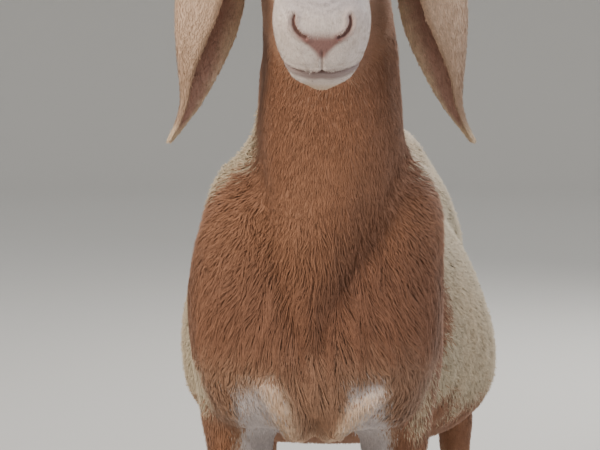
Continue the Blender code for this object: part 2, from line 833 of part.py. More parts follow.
def hoof_claw(name, foot, outward, parts, cutters):
    """One of a foot's two claws: flat sole, pointed toe and a straight inner wall."""
    stations = (
        (0.000, -0.019, 0.0345, 1.00),
        (0.012, -0.016, 0.0335, 1.02),
        (0.030, -0.008, 0.0300, 1.02),
        (0.048, -0.002, 0.0270, 1.00),
        (0.062, 0.002, 0.0250, 0.98),
    )
    rings = []
    for z, ahead, half_length, swell in stations:
        ring = []
        for step in range(16):
            angle = math.tau * step / 16
            across, along = math.cos(angle), math.sin(angle)
            width = HOOF_HALF_WIDTH * swell
            # The wall is full on the outer side, flat along the cleft and pointed at the toe
            aside = width * across if across > 0 else width * max(across, -0.94)
            if along < 0:
                aside -= 0.35 * width * (-along) ** 3 * (1 + across) / 2
            centre_aside = HOOF_CLEFT / 2 + HOOF_HALF_WIDTH
            ring.append(
                foot
                + ACROSS * (outward * (centre_aside + aside))
                + BACK * (ahead + half_length * along)
                + UP * z
            )
        rings.append(ring)
    claw = sweep(name, rings, parts)
    boolean(claw, "INTERSECT", coronet_box(foot, -GAP, cutters))
    keep_largest(claw)
    return claw


def dewclaws(leg, foot, cutters):
    """The two small claws behind the fetlock."""
    tree = surface_tree(leg)
    pieces = []
    for aside in (-0.0125, 0.0125):
        start = foot + Vector((aside, 0.12, 0.080))
        point = tree.ray_cast(start, -BACK)[0]
        pieces.append(
            ellipsoid("dewclaw", point, (0.0075, 0.0095, 0.0115), cutters, 0.5, segments=8)
        )
    unite(leg, pieces)
    keep_largest(leg)


def lock(tree, root, rng, collection):
    """One flat, tapered lock of hair that lies down the breast, with its root sunk in."""
    side = math.copysign(1.0, root.x)
    fan = side * min(1.0, abs(root.x) / 0.10)
    low = smoothstep((0.50 - root.z) / 0.05)
    sway = 0.62 * fan * (1 - 1.5 * low) + rng.uniform(-0.10, 0.10)
    heading = Vector((sway, 0.0, -1.0)).normalized()
    length = LOCK_LENGTH * rng.uniform(0.85, 1.15)
    width = LOCK_HALF_WIDTH * rng.uniform(0.85, 1.15)
    # How far along, how high over the skin, and the shares of the full width and thickness
    stations = (
        (0.00, -0.0050, 0.8, 0.9),
        (0.25, 0.0014, 1.0, 1.0),
        (0.65, 0.0042, 0.72, 0.7),
        (1.00, 0.0048, 0.1, 0.25),
    )
    rings = []
    for share, lift, wide, thick in stations:
        guess = root + heading * (length * share)
        point, normal = tree.find_nearest(guess)[:2]
        beside = heading.cross(normal).normalized()
        centre = point + normal * lift
        half, deep = width * wide, LOCK_THICKNESS * thick / 2
        rings.append(
            [
                centre + beside * half,
                centre + normal * deep,
                centre - beside * half,
                centre - normal * deep,
            ]
        )
    return sweep("lock", rings, collection)


def breast_locks(torso, collection):
    """The long hair of the breast: overlapping locks that fan down and outwards."""
    tree = surface_tree(torso)
    rng = random.Random(7)
    locks = []
    for row in range(LOCK_ROWS):
        height = 0.618 - LOCK_SPACING_DOWN * row
        reach = 0.112 - 0.004 * row
        for column in range(LOCK_COLUMNS):
            share = (column + 0.5 * (row % 2) - (LOCK_COLUMNS - 0.5) / 2) / (LOCK_COLUMNS / 2)
            x = reach * share + rng.uniform(-0.003, 0.003)
            z = height + 0.030 * abs(share) + rng.uniform(-0.004, 0.004)
            start = Vector((x, -0.8, z))
            point = tree.ray_cast(start, BACK)[0]
            if point is not None and point.z > 0.44:
                locks.append(lock(tree, point, rng, collection))
    unite(torso, locks)
    keep_largest(torso)


def posed(point, head):
    """Where a point goes in the pose; head tells how much it moves with the head, from 0 to 1."""
    ahead = smoothstep((-0.225 - point.y) / 0.10)
    neck = smoothstep((point.z - 0.58) / 0.16) * ahead
    lean = NECK_LEAN * neck + (HEAD_LEAN - NECK_LEAN * neck) * head
    turn = HEAD_TURN * head
    back = point.y - HEAD_TURN_Y
    return Vector(
        (
            point.x * math.cos(turn) - back * math.sin(turn) + lean,
            HEAD_TURN_Y + back * math.cos(turn) + point.x * math.sin(turn),
            point.z,
        )
    )


def place_and_pose(nodes):
    """Poses every node and puts the origin on the floor, under the middle of the whole box."""
    for node in nodes:
        rigid = node.name.startswith(("ear", "eye"))
        for vertex in node.data.vertices:
            past_throat = (vertex.co - THROAT).dot(THROAT_NORMAL)
            head = 1.0 if rigid else smoothstep(past_throat / THROAT_BLEND + 0.5)
            vertex.co = posed(vertex.co, head)
    points = [vertex.co for node in nodes for vertex in node.data.vertices]
    shift = Vector(
        [-(min(p[axis] for p in points) + max(p[axis] for p in points)) / 2 for axis in (0, 1)]
        + [-min(p.z for p in points)]
    )
    for node in nodes:
        node.data.transform(Matrix.Translation(shift))
    print("origin shift in mm:", [round(1000 * value, 2) for value in shift])


def coat_material(name, colour, roughness):
    """A Principled finish; colour is linear red, green and blue."""
    finish = bpy.data.materials.new(name)
    finish.use_nodes = True
    shader = finish.node_tree.nodes["Principled BSDF"]
    shader.inputs["Base Color"].default_value = (*colour, 1)
    shader.inputs["Roughness"].default_value = roughness
    shader.inputs["Metallic"].default_value = 0
    finish.diffuse_color = (*colour, 1)
    return finish


def dress(nodes):
    """Gives each node the plain colour of its coat, horn or eye."""
    white = coat_material("white_coat", (0.60, 0.55, 0.49), 0.85)
    ginger = coat_material("ginger_coat", (0.34, 0.14, 0.06), 0.80)
    horn = coat_material("hoof_horn", (0.10, 0.075, 0.055), 0.45)
    amber = coat_material("eye", (0.23, 0.12, 0.03), 0.08)
    for name, node in nodes.items():
        finish = ginger
        if name in ("torso", "fat_rump", "head") or name.startswith("ear"):
            finish = white
        elif name.startswith("claw"):
            finish = horn
        elif name.startswith("eye"):
            finish = amber
        node.data.materials.clear()
        node.data.materials.append(finish)
        node.data.shade_smooth()
        node.data.set_sharp_from_angle(angle=math.radians(40))


def main():
    clear_scene()
    parts = new_collection("arashan_sheep")
    cutters = new_collection("cutters", hidden=True)
    skin = fuse("flesh", flesh_pieces(parts))
    sway_rear(skin)
    found = part_flesh(skin, parts, cutters)
    carve_face(found["head"], parts, cutters)
    for side, word in SIDES:
        ear(side, word, found["head"], parts, cutters)
    for name, foot in feet():
        dewclaws(found[name], foot, cutters)
        for outward, place in ((1, "left"), (-1, "right")):
            hoof_claw(f"claw_{name}_{place}", foot, outward, parts, cutters)
    breast_locks(found["torso"], cutters)
    for cutter in list(cutters.objects):
        remove(cutter)
    nodes = {thing.name: thing for thing in parts.objects}
    place_and_pose(list(nodes.values()))
    dress(nodes)


main()
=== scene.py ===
"""The looks of a life-size Arashan sheep: skin, coat, eyes, ears, hooves, light and camera.

Lengths are in metres, in the row frame: +Z is up, the nose points along -Y and the sheep's left
side lies on +X. Body coordinates have their origin on the floor, midway between the forefeet.
Head coordinates are (aside, along, above), measured from the tip of the nose.
"""

import json
import logging
import math
from dataclasses import dataclass
from enum import Enum

import bmesh
import bpy
import numpy as np
from mathutils import Matrix, Vector
from mathutils.bvhtree import BVHTree

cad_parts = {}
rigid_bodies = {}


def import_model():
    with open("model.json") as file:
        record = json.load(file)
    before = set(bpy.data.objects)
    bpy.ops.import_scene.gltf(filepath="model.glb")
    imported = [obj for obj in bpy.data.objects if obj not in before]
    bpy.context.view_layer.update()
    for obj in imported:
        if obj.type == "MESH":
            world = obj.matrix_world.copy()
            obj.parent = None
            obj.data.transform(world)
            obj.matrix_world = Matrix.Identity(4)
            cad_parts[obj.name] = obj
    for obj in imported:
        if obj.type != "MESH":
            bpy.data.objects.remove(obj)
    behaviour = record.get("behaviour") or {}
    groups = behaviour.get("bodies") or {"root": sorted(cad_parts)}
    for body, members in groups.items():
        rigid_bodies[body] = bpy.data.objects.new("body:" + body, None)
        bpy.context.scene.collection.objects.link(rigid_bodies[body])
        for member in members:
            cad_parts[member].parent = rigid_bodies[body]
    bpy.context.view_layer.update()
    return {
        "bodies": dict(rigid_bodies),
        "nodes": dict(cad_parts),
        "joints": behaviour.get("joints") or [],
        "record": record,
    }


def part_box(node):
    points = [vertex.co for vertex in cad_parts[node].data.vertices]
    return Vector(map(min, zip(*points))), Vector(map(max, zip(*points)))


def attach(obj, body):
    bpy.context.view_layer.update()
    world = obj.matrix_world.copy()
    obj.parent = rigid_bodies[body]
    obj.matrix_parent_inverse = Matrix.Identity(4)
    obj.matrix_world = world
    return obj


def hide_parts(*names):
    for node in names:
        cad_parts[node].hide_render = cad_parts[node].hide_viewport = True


logging.basicConfig(level=logging.INFO, format="%(message)s")
log = logging.getLogger("sheep")

SIDES = ((1.0, "left"), (-1.0, "right"))
TRIANGLE_LIMIT = 185_000
SMALLEST_PIECE = 600
HALF_PATCH = 0.0015
FOCAL_PIXELS = 1800
ASIDE_PIXELS = 14


class Slot(Enum):
    """The record's material slots."""

    WHITE = "white_coat"
    GINGER = "ginger_coat"
    HORN = "hoof_horn"
    EYE = "eye"


class Region(Enum):
    """The parts of the body that have a coat piece and an unwrap of their own."""

    HEAD = "head"
    NECK = "neck"
    TRUNK = "trunk"
    RUMP = "rump"
    FORELEGS = "forelegs"
    HIND_LEGS = "hind_legs"


@dataclass(frozen=True)
class HeadSizes:
    """Where the features of the head lie, in head coordinates, and the sizes of the eyes."""

    tilt: float = math.radians(30)
    nose_tip: tuple = (0.0, -0.577, 0.857)
    eye_along: float = 0.183
    eye_above: float = 0.043
    eye_radius: float = 0.0150
    socket_radius: float = 0.0145
    hollow_radius: float = 0.0128
    lid_radius: float = 0.0166
    lid_edge_radius: float = 0.0158
    lash_radius: float = 0.0161
    gaze: tuple = (0.92, -0.34, 0.16)
    mouth_above: float = -0.0325
    mouth_middle: float = 0.052


@dataclass(frozen=True)
class SkinSizes:
    """How the skin is made from the solids, and how far the pose moves them to the left."""

    cut_closing: float = 0.0006
    voxel: float = 0.0070
    body_rounds: int = 14
    forefoot_reach: float = 0.3395
    coronet_height: float = 0.041
    neck_lean: float = 0.019
    rear_sway: float = 0.036


@dataclass(frozen=True)
class Swell:
    """A soft bump or dent of the flesh: centre, radii and height, which is negative inwards."""

    centre: tuple
    radii: tuple
    height: float


@dataclass(frozen=True)
class Finish:
    """A surface finish: base colour as an sRGB hex code, roughness, sheen and specular level."""

    name: str
    colour: str
    roughness: float
    sheen: float = 0.0
    specular: float = 0.5


HEAD = HeadSizes()
SKIN = SkinSizes()

# The moist edge of the lids is dark and shines, and the pale floor of a museum hall is matt
LID_EDGE = Finish("lid_edge", "#4a3029", 0.30, 0.0, 0.5)
FLOOR = Finish("floor", "#c9c6c1", 0.85, 0.0, 0.2)

# Muscle, bone and folds of the body, in body coordinates of the left side
BODY_SWELLS = (
    Swell((0.086, -0.370, 0.600), (0.045, 0.080, 0.085), 0.006),
    Swell((0.092, -0.235, 0.780), (0.022, 0.030, 0.030), 0.004),
    Swell((0.118, -0.275, 0.700), (0.022, 0.026, 0.050), 0.004),
    Swell((0.128, -0.225, 0.500), (0.035, 0.045, 0.045), 0.005),
    Swell((0.135, -0.158, 0.470), (0.035, 0.020, 0.060), -0.006),
    Swell((0.112, -0.285, 0.392), (0.026, 0.024, 0.036), 0.003),
    Swell((0.088, -0.290, 0.276), (0.017, 0.018, 0.019), 0.003),
    Swell((0.150, 0.452, 0.322), (0.014, 0.016, 0.018), 0.003),
    Swell((0.172, 0.425, 0.372), (0.012, 0.014, 0.035), -0.003),
    Swell((0.126, 0.425, 0.372), (0.012, 0.014, 0.035), -0.003),
    Swell((0.165, 0.268, 0.505), (0.030, 0.030, 0.040), 0.005),
    Swell((0.140, 0.262, 0.715), (0.030, 0.036, 0.030), -0.006),
    Swell((0.108, 0.305, 0.775), (0.024, 0.030, 0.020), 0.005),
)

# Features of the skull and muzzle, in head coordinates of the left side
HEAD_SWELLS = (
    Swell((0.052, 0.148, 0.018), (0.012, 0.026, 0.014), -0.0024),
    Swell((0.064, 0.188, 0.012), (0.012, 0.040, 0.007), 0.0022),
    Swell((0.062, 0.228, -0.038), (0.020, 0.034, 0.034), 0.0026),
    Swell((0.046, 0.138, -0.050), (0.018, 0.026, 0.014), -0.0024),
    Swell((0.058, 0.226, 0.052), (0.012, 0.016, 0.014), -0.0030),
    Swell((0.000, 0.200, 0.096), (0.018, 0.030, 0.012), -0.0014),
    Swell((0.037, 0.016, 0.022), (0.008, 0.016, 0.017), 0.0022),
    Swell((0.044, 0.046, 0.030), (0.010, 0.016, 0.012), -0.0016),
    Swell((0.020, 0.008, -0.021), (0.016, 0.018, 0.008), 0.0016),
    Swell((0.012, 0.018, -0.0435), (0.022, 0.020, 0.0055), 0.0016),
    Swell((0.000, 0.034, -0.0640), (0.028, 0.030, 0.0140), 0.0080),
    Swell((0.032, 0.036, -0.0490), (0.016, 0.034, 0.0150), 0.0100),
    Swell((0.040, 0.036, -0.0385), (0.012, 0.034, 0.0080), 0.0045),
    Swell((0.045, 0.034, -0.0260), (0.014, 0.032, 0.0160), 0.0055),
    Swell((0.047, 0.045, -0.0020), (0.012, 0.036, 0.0240), 0.0030),
    Swell((0.052, 0.168, 0.066), (0.016, 0.022, 0.010), 0.0018),
)

# The comma of a nostril, seen from the front, as (aside, above, half width)
NOSTRIL_TRACE = np.array(
    (
        (0.0266, 0.0272, 0.0001),
        (0.0278, 0.0236, 0.0005),
        (0.0273, 0.0192, 0.0009),
        (0.0250, 0.0150, 0.0011),
        (0.0211, 0.0114, 0.0010),
        (0.0158, 0.0088, 0.0005),
    )
)

# The ear, station by station: the outer fold (x, z), the inner edge (x, z), how far the front
# flap reaches towards the inner edge, and half the room between the two flaps
EAR_STATIONS = np.array(
    (
        (0.056, 1.010, 0.056, 0.978, 1.00, 0.013),
        (0.086, 1.020, 0.067, 0.968, 0.96, 0.019),
        (0.116, 1.008, 0.074, 0.954, 0.90, 0.023),
        (0.139, 0.980, 0.079, 0.936, 0.82, 0.024),
        (0.152, 0.942, 0.083, 0.912, 0.74, 0.023),
        (0.156, 0.898, 0.089, 0.882, 0.66, 0.020),
        (0.155, 0.858, 0.100, 0.852, 0.53, 0.016),
        (0.152, 0.824, 0.115, 0.822, 0.38, 0.012),
        (0.151, 0.799, 0.128, 0.799, 0.34, 0.008),
        (0.156, 0.778, 0.143, 0.778, 0.40, 0.005),
        (0.166, 0.757, 0.161, 0.756, 0.60, 0.002),
    )
)
EAR_Y = -0.376
EAR_SWING = 0.016


def linear(code: str) -> np.ndarray:
    """Turns an sRGB hex code such as "#rrggbb" into linear red, green and blue."""
    value = np.array([int(code[k : k + 2], 16) for k in (1, 3, 5)]) / 255.0
    return np.where(value <= 0.04045, value / 12.92, ((value + 0.055) / 1.055) ** 2.4)


def smooth(value) -> np.ndarray:
    """A smooth climb from 0 to 1 as the value goes from 0 to 1."""
    t = np.clip(value, 0.0, 1.0)
    return t * t * (3.0 - 2.0 * t)


def bell(value: np.ndarray, width: float) -> np.ndarray:
    """A bell curve that is 1 at 0 and falls to a third at the width."""
    return np.exp(-((value / width) ** 2))


def blend(first, second, share) -> np.ndarray:
    """Mixes rows of two arrays, or single rows: the first at share 0, the second at share 1."""
    part = np.asarray(share)[:, None]
    return np.asarray(first) * (1.0 - part) + np.asarray(second) * part


def unit(vectors: np.ndarray) -> np.ndarray:
    """Scales each row to length 1."""
    return vectors / np.maximum(np.linalg.norm(vectors, axis=-1, keepdims=True), 1e-9)


def catmull(rows: np.ndarray, at: np.ndarray) -> np.ndarray:
    """Values on a smooth curve through a table's rows.

    Args:
        rows: The table, a station a row.
        at: Places along it, from 0 at the first row to 1 at the last.

    Returns:
        One row of values for each place.
    """
    last = len(rows) - 1
    place = np.clip(at, 0.0, 1.0) * last
    start = np.minimum(place.astype(int), last - 1)
    t = (place - start)[:, None]
    a, b, c, d = (rows[np.clip(start + shift, 0, last)] for shift in (-1, 0, 1, 2))
    return b + (c - a) * t / 2 + (2 * a - 5 * b + 4 * c - d) * t**2 / 2 + (
        (3 * b - a - 3 * c + d) * t**3 / 2
    )


class Noise:
    """Smooth noise between about -1 and 1: a sum of plane waves with random headings."""

    def __init__(self, seed: int, size: float) -> None:
        """Draws nine waves of about the given length.

        Args:
            seed: The seed of the draw.
            size: The length of a usual wave.
        """
        rng = np.random.default_rng(seed)
        spread = rng.uniform(0.6, 1.7, (9, 1))
        self.waves = unit(rng.normal(size=(9, 3))) * (math.tau / size) * spread
        self.phases = rng.uniform(0, math.tau, 9)

    def __call__(self, points: np.ndarray) -> np.ndarray:
        """The noise at each point."""
        return np.sin(points @ self.waves.T + self.phases).mean(axis=1) * 2.0


class Sheep:
    """Where the body and head coordinates lie in the row frame, and which region a point is in."""

    def __init__(self) -> None:
        """Reads the places of the forefeet and the eyes from the frame."""
        feet = [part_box(f"claw_foreleg_{leg}_{claw}") for _, leg in SIDES for _, claw in SIDES]
        lows, highs = (np.array([box[end] for box in feet]) for end in (0, 1))
        middle = (lows[:, 0].min() + highs[:, 0].max()) / 2
        self.origin = np.array([middle, lows[:, 1].min() + SKIN.forefoot_reach, 0.0])
        left, right = (sum(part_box(f"eye_{word}"), Vector()) / 2 for _, word in SIDES)
        across = (left - right).normalized()
        level_back = Vector((-across.y, across.x, 0))
        back = level_back * math.cos(HEAD.tilt) + Vector((0, 0, math.sin(HEAD.tilt)))
        self.head_axes = np.array((across, back, across.cross(back)))
        self.level_back = np.array(level_back)
        self.eye_aside = (left - right).length / 2
        eyes = np.array((left + right) / 2)
        self.nose = eyes - np.array((0, HEAD.eye_along, HEAD.eye_above)) @ self.head_axes

    def body(self, points: np.ndarray) -> np.ndarray:
        """Points of the row frame in body coordinates, with the pose's lean and sway taken out.

        Args:
            points: Points of the row frame.

        Returns:
            A row a point.
        """
        found = points - self.origin
        neck = smooth((found[:, 2] - 0.58) / 0.16) * smooth((-0.225 - found[:, 1]) / 0.10)
        rear = smooth((found[:, 1] + 0.08) / 0.41) * smooth((0.56 - found[:, 2]) / 0.16)
        found[:, 0] -= SKIN.neck_lean * neck + SKIN.rear_sway * rear
        return found

    def head(self, points: np.ndarray) -> np.ndarray:
        """Points of the row frame in head coordinates."""
        return (points - self.nose) @ self.head_axes.T

    def from_head(self, points: np.ndarray) -> np.ndarray:
        """Points in head coordinates, in the row frame."""
        return self.nose + points @ self.head_axes

    def from_ear(self, points: np.ndarray) -> np.ndarray:
        """Points of the ear table's upright frame, in the row frame.

        Args:
            points: Points of the table's frame.

        Returns:
            A row a point.
        """
        x, y, z = (points - np.array(HEAD.nose_tip)).T
        sine, cosine = math.sin(HEAD.tilt), math.cos(HEAD.tilt)
        return self.from_head(np.stack((x, y * cosine + z * sine, z * cosine - y * sine), axis=1))

    def eye_axes(self, side: float) -> tuple:
        """The centre of an eye, and its axes along the lids, across them and outwards, as rows.

        Args:
            side: 1 for the left side, -1 for the right one.

        Returns:
            The centre, and the axes as three rows.
        """
        centre = self.from_head(np.array([[side * self.eye_aside, HEAD.eye_along, HEAD.eye_above]]))[0]
        across, back, _ = self.head_axes
        x, y, z = HEAD.gaze
        out = unit(across * side * x + self.level_back * y + np.array((0.0, 0.0, z)))
        along = unit(back - out * (back @ out))
        return centre, np.array((along, np.cross(out, along) * side, out))

    def eye_metric(self, points: np.ndarray, side: float) -> tuple:
        """How far each point is from the opening between an eye's lids.

        Args:
            points: Points of the row frame.
            side: The side of the eye.

        Returns:
            The almond's metric, which is 1 at the lids' edge, and the points on the eye's axes.
        """
        centre, axes = self.eye_axes(side)
        local = (points - centre) @ axes.T
        return almond_metric(local[:, 0], local[:, 1]), local

    def head_share(self, points: np.ndarray) -> np.ndarray:
        """1 on the head and 0 below the throat.

        Args:
            points: Points of the row frame.

        Returns:
            A number between 0 and 1 a point.
        """
        found = self.head(points)
        past = (found[:, 1] - 0.222) * -0.297 + (found[:, 2] + 0.099) * 0.955
        return smooth(past / 0.03 + 0.5)

    def shares(self, points: np.ndarray) -> dict:
        """How far each point belongs to the named parts, as arrays between 0 and 1.

        Args:
            points: Points of the row frame.

        Returns:
            An array for each part, by its name.
        """
        x, y, z = self.body(points).T
        head = self.head_share(points)
        slope = (y + 0.450) * -0.735 + (z - 0.612) * 0.678
        neck = smooth(slope / 0.06 + 0.5) * (1 - head)
        fore = smooth((0.455 - z) / 0.05) * smooth((-0.14 - y) / 0.04)
        hind = smooth((0.470 - z) / 0.06) * smooth((y - 0.20) / 0.05)
        leg = np.maximum(np.maximum(fore, hind), smooth((0.318 - z) / 0.02))
        breast = smooth((-0.27 - y) / 0.08) * smooth((0.68 - z) / 0.08) * (1 - leg)
        return {
            "head": head,
            "neck": neck,
            "leg": leg,
            "low_leg": smooth((0.32 - z) / 0.07),
            "breast": breast * (1 - neck),
            "rump": smooth((y - 0.42) / 0.04) * (1 - leg),
        }

    def regions(self, points: np.ndarray) -> np.ndarray:
        """The region of each point, as its place in the list of regions.

        Args:
            points: Points of the row frame.

        Returns:
            A whole number a point.
        """
        share = self.shares(points)
        y = self.body(points)[:, 1]
        found = np.where(share["rump"] > 0.5, 3, 2)
        found = np.where(share["leg"] > 0.5, np.where(y < 0.05, 4, 5), found)
        found[share["neck"] > 0.5] = 1
        found[share["head"] > 0.5] = 0
        return found

    def unwrap(self, points: np.ndarray, region: Region) -> np.ndarray:
        """Places on an unwrap of the skin round the axis of its region.

        Args:
            points: Points of the row frame.
            region: The region whose skin is unwrapped.

        Returns:
            Two numbers between 0 and 1 a point.
        """
        x, y, z = self.body(points).T
        if region is Region.HEAD:
            aside, along, above = self.head(points).T
            turn, length = np.arctan2(aside, above), along / 0.34
        elif region is Region.NECK:
            turn, length = np.arctan2(x, -(y + 0.32)), (z - 0.45) / 0.6
        elif region in (Region.FORELEGS, Region.HIND_LEGS):
            middle_x, middle_y = (0.095, -0.262) if region is Region.FORELEGS else (0.15, 0.37)
            around = np.arctan2(np.abs(x) - middle_x, y - middle_y) / math.tau
            turn = (around * 0.48 + np.where(x > 0, 0.25, -0.25)) * math.tau
            length = z / 0.52
        elif region is Region.RUMP:
            turn, length = np.arctan2(x, z - 0.62), (y - 0.38) / 0.24
        else:
            turn, length = np.arctan2(x, z - 0.58), (y + 0.46) / 1.02
        return np.clip(np.stack((turn / math.tau + 0.5, length), axis=1), 0.004, 0.996)


class Markings:
    """The colours of the coat and of the bare skin, the same for skin and tufts."""

    PALETTE = {
        "white": "#c2b59e", "cream": "#ccb496", "fawn": "#a98872", "ginger": "#a27a61",
        "dark_ginger": "#845f4c", "chestnut": "#8c6755", "tan": "#c19a78", "face": "#dfd3cc",
        "bridge": "#bdb3b3", "peach": "#dcc2aa", "pad": "#89615b", "lip": "#8d7876",
        "cool": "#c8c2c6", "hollow": "#7d605a", "rim": "#5d4136", "udder": "#d3a596",
    }

    def __init__(self, sheep: Sheep) -> None:
        """Keeps the coordinates, the palette and the noise that makes the edges uneven.

        Args:
            sheep: The coordinates of the sheep.
        """
        self.sheep = sheep
        vars(self).update({name: linear(code) for name, code in self.PALETTE.items()})
        self.noises = (Noise(11, 0.050), Noise(12, 0.014), Noise(13, 0.26))

    def bare(self, points: np.ndarray) -> dict:
        """How far each point lies on bare skin of each kind, as arrays between 0 and 1.

        Args:
            points: Points of the row frame.

        Returns:
            An array for each kind, by its name.
        """
        aside, along, above = self.sheep.head(points).T
        side = np.abs(aside)
        near = smooth((0.060 - along) / 0.02)
        pad_width = 0.0045 + 0.0195 * smooth((above + 0.013) / 0.028)
        pad = smooth((pad_width - side) / 0.009 + 0.5) * smooth((0.0185 - above) / 0.014)
        distance, place = nostril_distance(side, above)
        front = smooth((0.050 - along) / 0.012)
        gap = above - mouth_height(aside, along)
        under = smooth((0.001 - gap) / 0.002) * smooth((gap + 0.013) / 0.006)
        over = smooth((gap + 0.001) / 0.002) * smooth((0.005 - gap) / 0.004)
        line = bell(gap, 0.0011) * smooth((0.085 - along) / 0.02)
        philtrum = bell(aside, 0.0011) * smooth((-0.004 - above) / 0.004)
        philtrum *= smooth((gap + 0.002) / 0.003) * near
        rim, lids = np.zeros((2, len(points)))
        for eye_side, _ in SIDES:
            metric, local = self.sheep.eye_metric(points, eye_side)
            outside = (local[:, 2] > 0) & (np.linalg.norm(local, axis=1) < 0.035)
            rim = np.maximum(rim, (1 - smooth((metric - 1.02) / 0.45)) * outside)
            lids = np.maximum(lids, (1 - smooth((metric - 1.2) / 1.2)) * outside)
        x, y, z = self.sheep.body(points).T
        udder = smooth((0.066 - np.abs(x)) / 0.040) * smooth((0.450 - z) / 0.06)
        return {
            "pad": pad * smooth((above + 0.018) / 0.008) * near,
            "nostril": (1 - smooth((distance - 0.0002) / 0.0012)) * front,
            "nostril_rim": (1 - smooth(distance / 0.0078)) * front * (0.55 + 0.45 * place),
            "lips": np.maximum(under, over * 0.6) * smooth((0.062 - along) / 0.03),
            "line": np.maximum(line, 0.45 * philtrum),
            "rim": rim,
            "lids": lids,
            "udder": udder * smooth((0.085 - np.abs(y - 0.280)) / 0.05),
        }

    def bareness(self, points: np.ndarray) -> np.ndarray:
        """How far the skin is free of hair.

        Args:
            points: Points of the row frame.

        Returns:
            A number between 0 and 1 a point.
        """
        kinds = self.bare(points)
        names = ("pad", "nostril", "nostril_rim", "line", "rim")
        found = np.max([kinds[name] for name in names], axis=0)
        return np.maximum(found, 0.75 * np.maximum(kinds["lips"], kinds["udder"]))

    def brown(self, points: np.ndarray, jag: np.ndarray, inner: np.ndarray) -> np.ndarray:
        """How far each point of the body is brown and not white.

        Args:
            points: Points of the row frame.
            jag: How far the edges of the patches are moved there.
            inner: How far each point lies on the pale inside of a foreleg.

        Returns:
            A number between 0 and 1 a point.
        """
        share = self.sheep.shares(points)
        x, y, z = self.sheep.body(points).T

        # The saddle of white wool begins behind the shoulder and reaches over the rump
        shoulder = -0.122 - 0.195 * smooth((z - 0.585) / 0.13) - 0.045 * smooth((0.535 - z) / 0.07)
        fore = smooth((shoulder - y + jag) / 0.016 + 0.5)
        above_breast = share["neck"] + share["head"]
        fore = np.maximum(fore, smooth((above_breast - 0.5 + 6 * jag) / 0.3 + 0.5))
        belly_top = 0.402 + 0.143 * smooth((y - 0.13) / 0.14) + 0.025 * smooth((-0.05 - y) / 0.08)
        belly = smooth((belly_top - z + 1.4 * jag) / 0.022 + 0.5) * smooth((0.40 - y) / 0.04)
        thigh = smooth((0.515 - z + 1.3 * jag) / 0.03 + 0.5) * smooth((y - 0.17) / 0.05)
        thigh *= smooth((z - 0.232 + jag) / 0.03 + 0.5)
        brown = np.maximum(np.maximum(fore, belly), thigh)

        # White runs over the outside of the right arm and in a strip down the left one
        arm = smooth((-0.13 - y) / 0.02)
        outside = smooth((-x - 0.114 - 0.278 * (z - 0.464) + 0.5 * jag) / 0.008 + 0.5)
        brown *= 1 - outside * arm * smooth((0.62 - z) / 0.05) * smooth((z - 0.436 + jag) / 0.015)
        strip = smooth(1.6 - np.abs(x - 0.119 - 0.25 * (z - 0.43) + 0.4 * jag) / 0.0055)
        strip *= smooth((0.510 - z) / 0.03) * smooth((z - 0.405) / 0.02)
        brown *= 1 - strip * smooth((-0.235 - y) / 0.02)
        below_knee = smooth((0.262 - z + jag) / 0.03 + 0.5)
        return brown * (1 - inner) * (1 - below_knee * (y < 0.05))

    def __call__(self, points: np.ndarray) -> np.ndarray:
        """The linear colour of each point of the row frame, a row a point.

        Args:
            points: Points of the row frame.

        Returns:
            Red, green and blue for each point.
        """
        share = self.sheep.shares(points)
        x, y, z = self.sheep.body(points).T
        edge, fine, broad = (noise(points) for noise in self.noises)
        jag = 0.010 * edge + 0.004 * fine

        # The legs are cream white below; inside the forelegs, between them, the white has painted shade
        # and is darker and bluer
        side = np.abs(x)
        inner = smooth((0.087 - side + 0.4 * jag) / 0.016 + 0.5)
        inner *= smooth((0.500 - z + 1.5 * jag) / 0.05 + 0.5) * smooth((side - 0.030) / 0.016)
        inner *= smooth((0.56 - z) / 0.04) * (y < -0.10)
        brown = self.brown(points, jag, inner)
        tone = blend(self.ginger, self.dark_ginger, np.clip(0.30 + 0.30 * broad + 0.14 * fine, 0, 1))
        light = blend(self.white, self.cream, np.clip(0.22 + 0.30 * broad + 0.10 * fine, 0, 1))
        light = blend(light, self.cream * 0.96, 0.6 * share["low_leg"])
        light = blend(light, self.cool, 0.8 * inner * (1 - share["low_leg"]))
        tone = blend(tone, self.chestnut, 0.55 * share["breast"] + 0.22 * share["neck"])
        colour = blend(light, tone, brown)
        # Painted light: the lower breast is made lighter and paler, as where light falls on it
        lit = smooth((0.575 - z) / 0.075) * share["breast"]
        colour = blend(colour, self.fawn, 0.8 * lit * brown)

        # Two pale folds of skin hang at the bottom of the breast
        colour = blend(colour, self.peach, 0.9 * fold_share(x, y, z))

        # The face is white; cheeks, jaw and poll are tan to ginger
        aside, along, above = self.sheep.head(points).T
        low = 0.020 + 0.022 * smooth((along - 0.15) / 0.06)
        cheek = smooth((along - 0.112 + 0.5 * jag) / 0.040) * smooth((low - above + jag) / 0.030 + 0.5)
        jaw = smooth((along - 0.070 + 0.5 * jag) / 0.020) * smooth((-0.046 - above) / 0.012 + 0.5)
        tan = blend(self.tan, self.ginger * 1.1, smooth((along - 0.13) / 0.07))
        tan = blend(tan, self.ginger, jaw)
        # Painted shade: the top of the muzzle, towards the nose, is made darker and greyer
        bridge = smooth((above - 0.022) / 0.02) * smooth((0.150 - along) / 0.08)
        chin = smooth((-0.048 - above) / 0.012) * smooth((0.075 - along) / 0.02)
        face = blend(self.face, self.bridge, 0.75 * bridge)
        face = blend(face, tan, np.clip(0.92 * np.maximum(cheek, jaw) + 0.05 * edge, 0, 1))
        face = blend(face, self.ginger, 0.9 * smooth((along - 0.240 + jag) / 0.03))
        face = blend(face, self.cream * 1.04, 0.7 * chin)
        colour = blend(colour, face, smooth((share["head"] - 0.5 + 3 * jag) / 0.4 + 0.5))

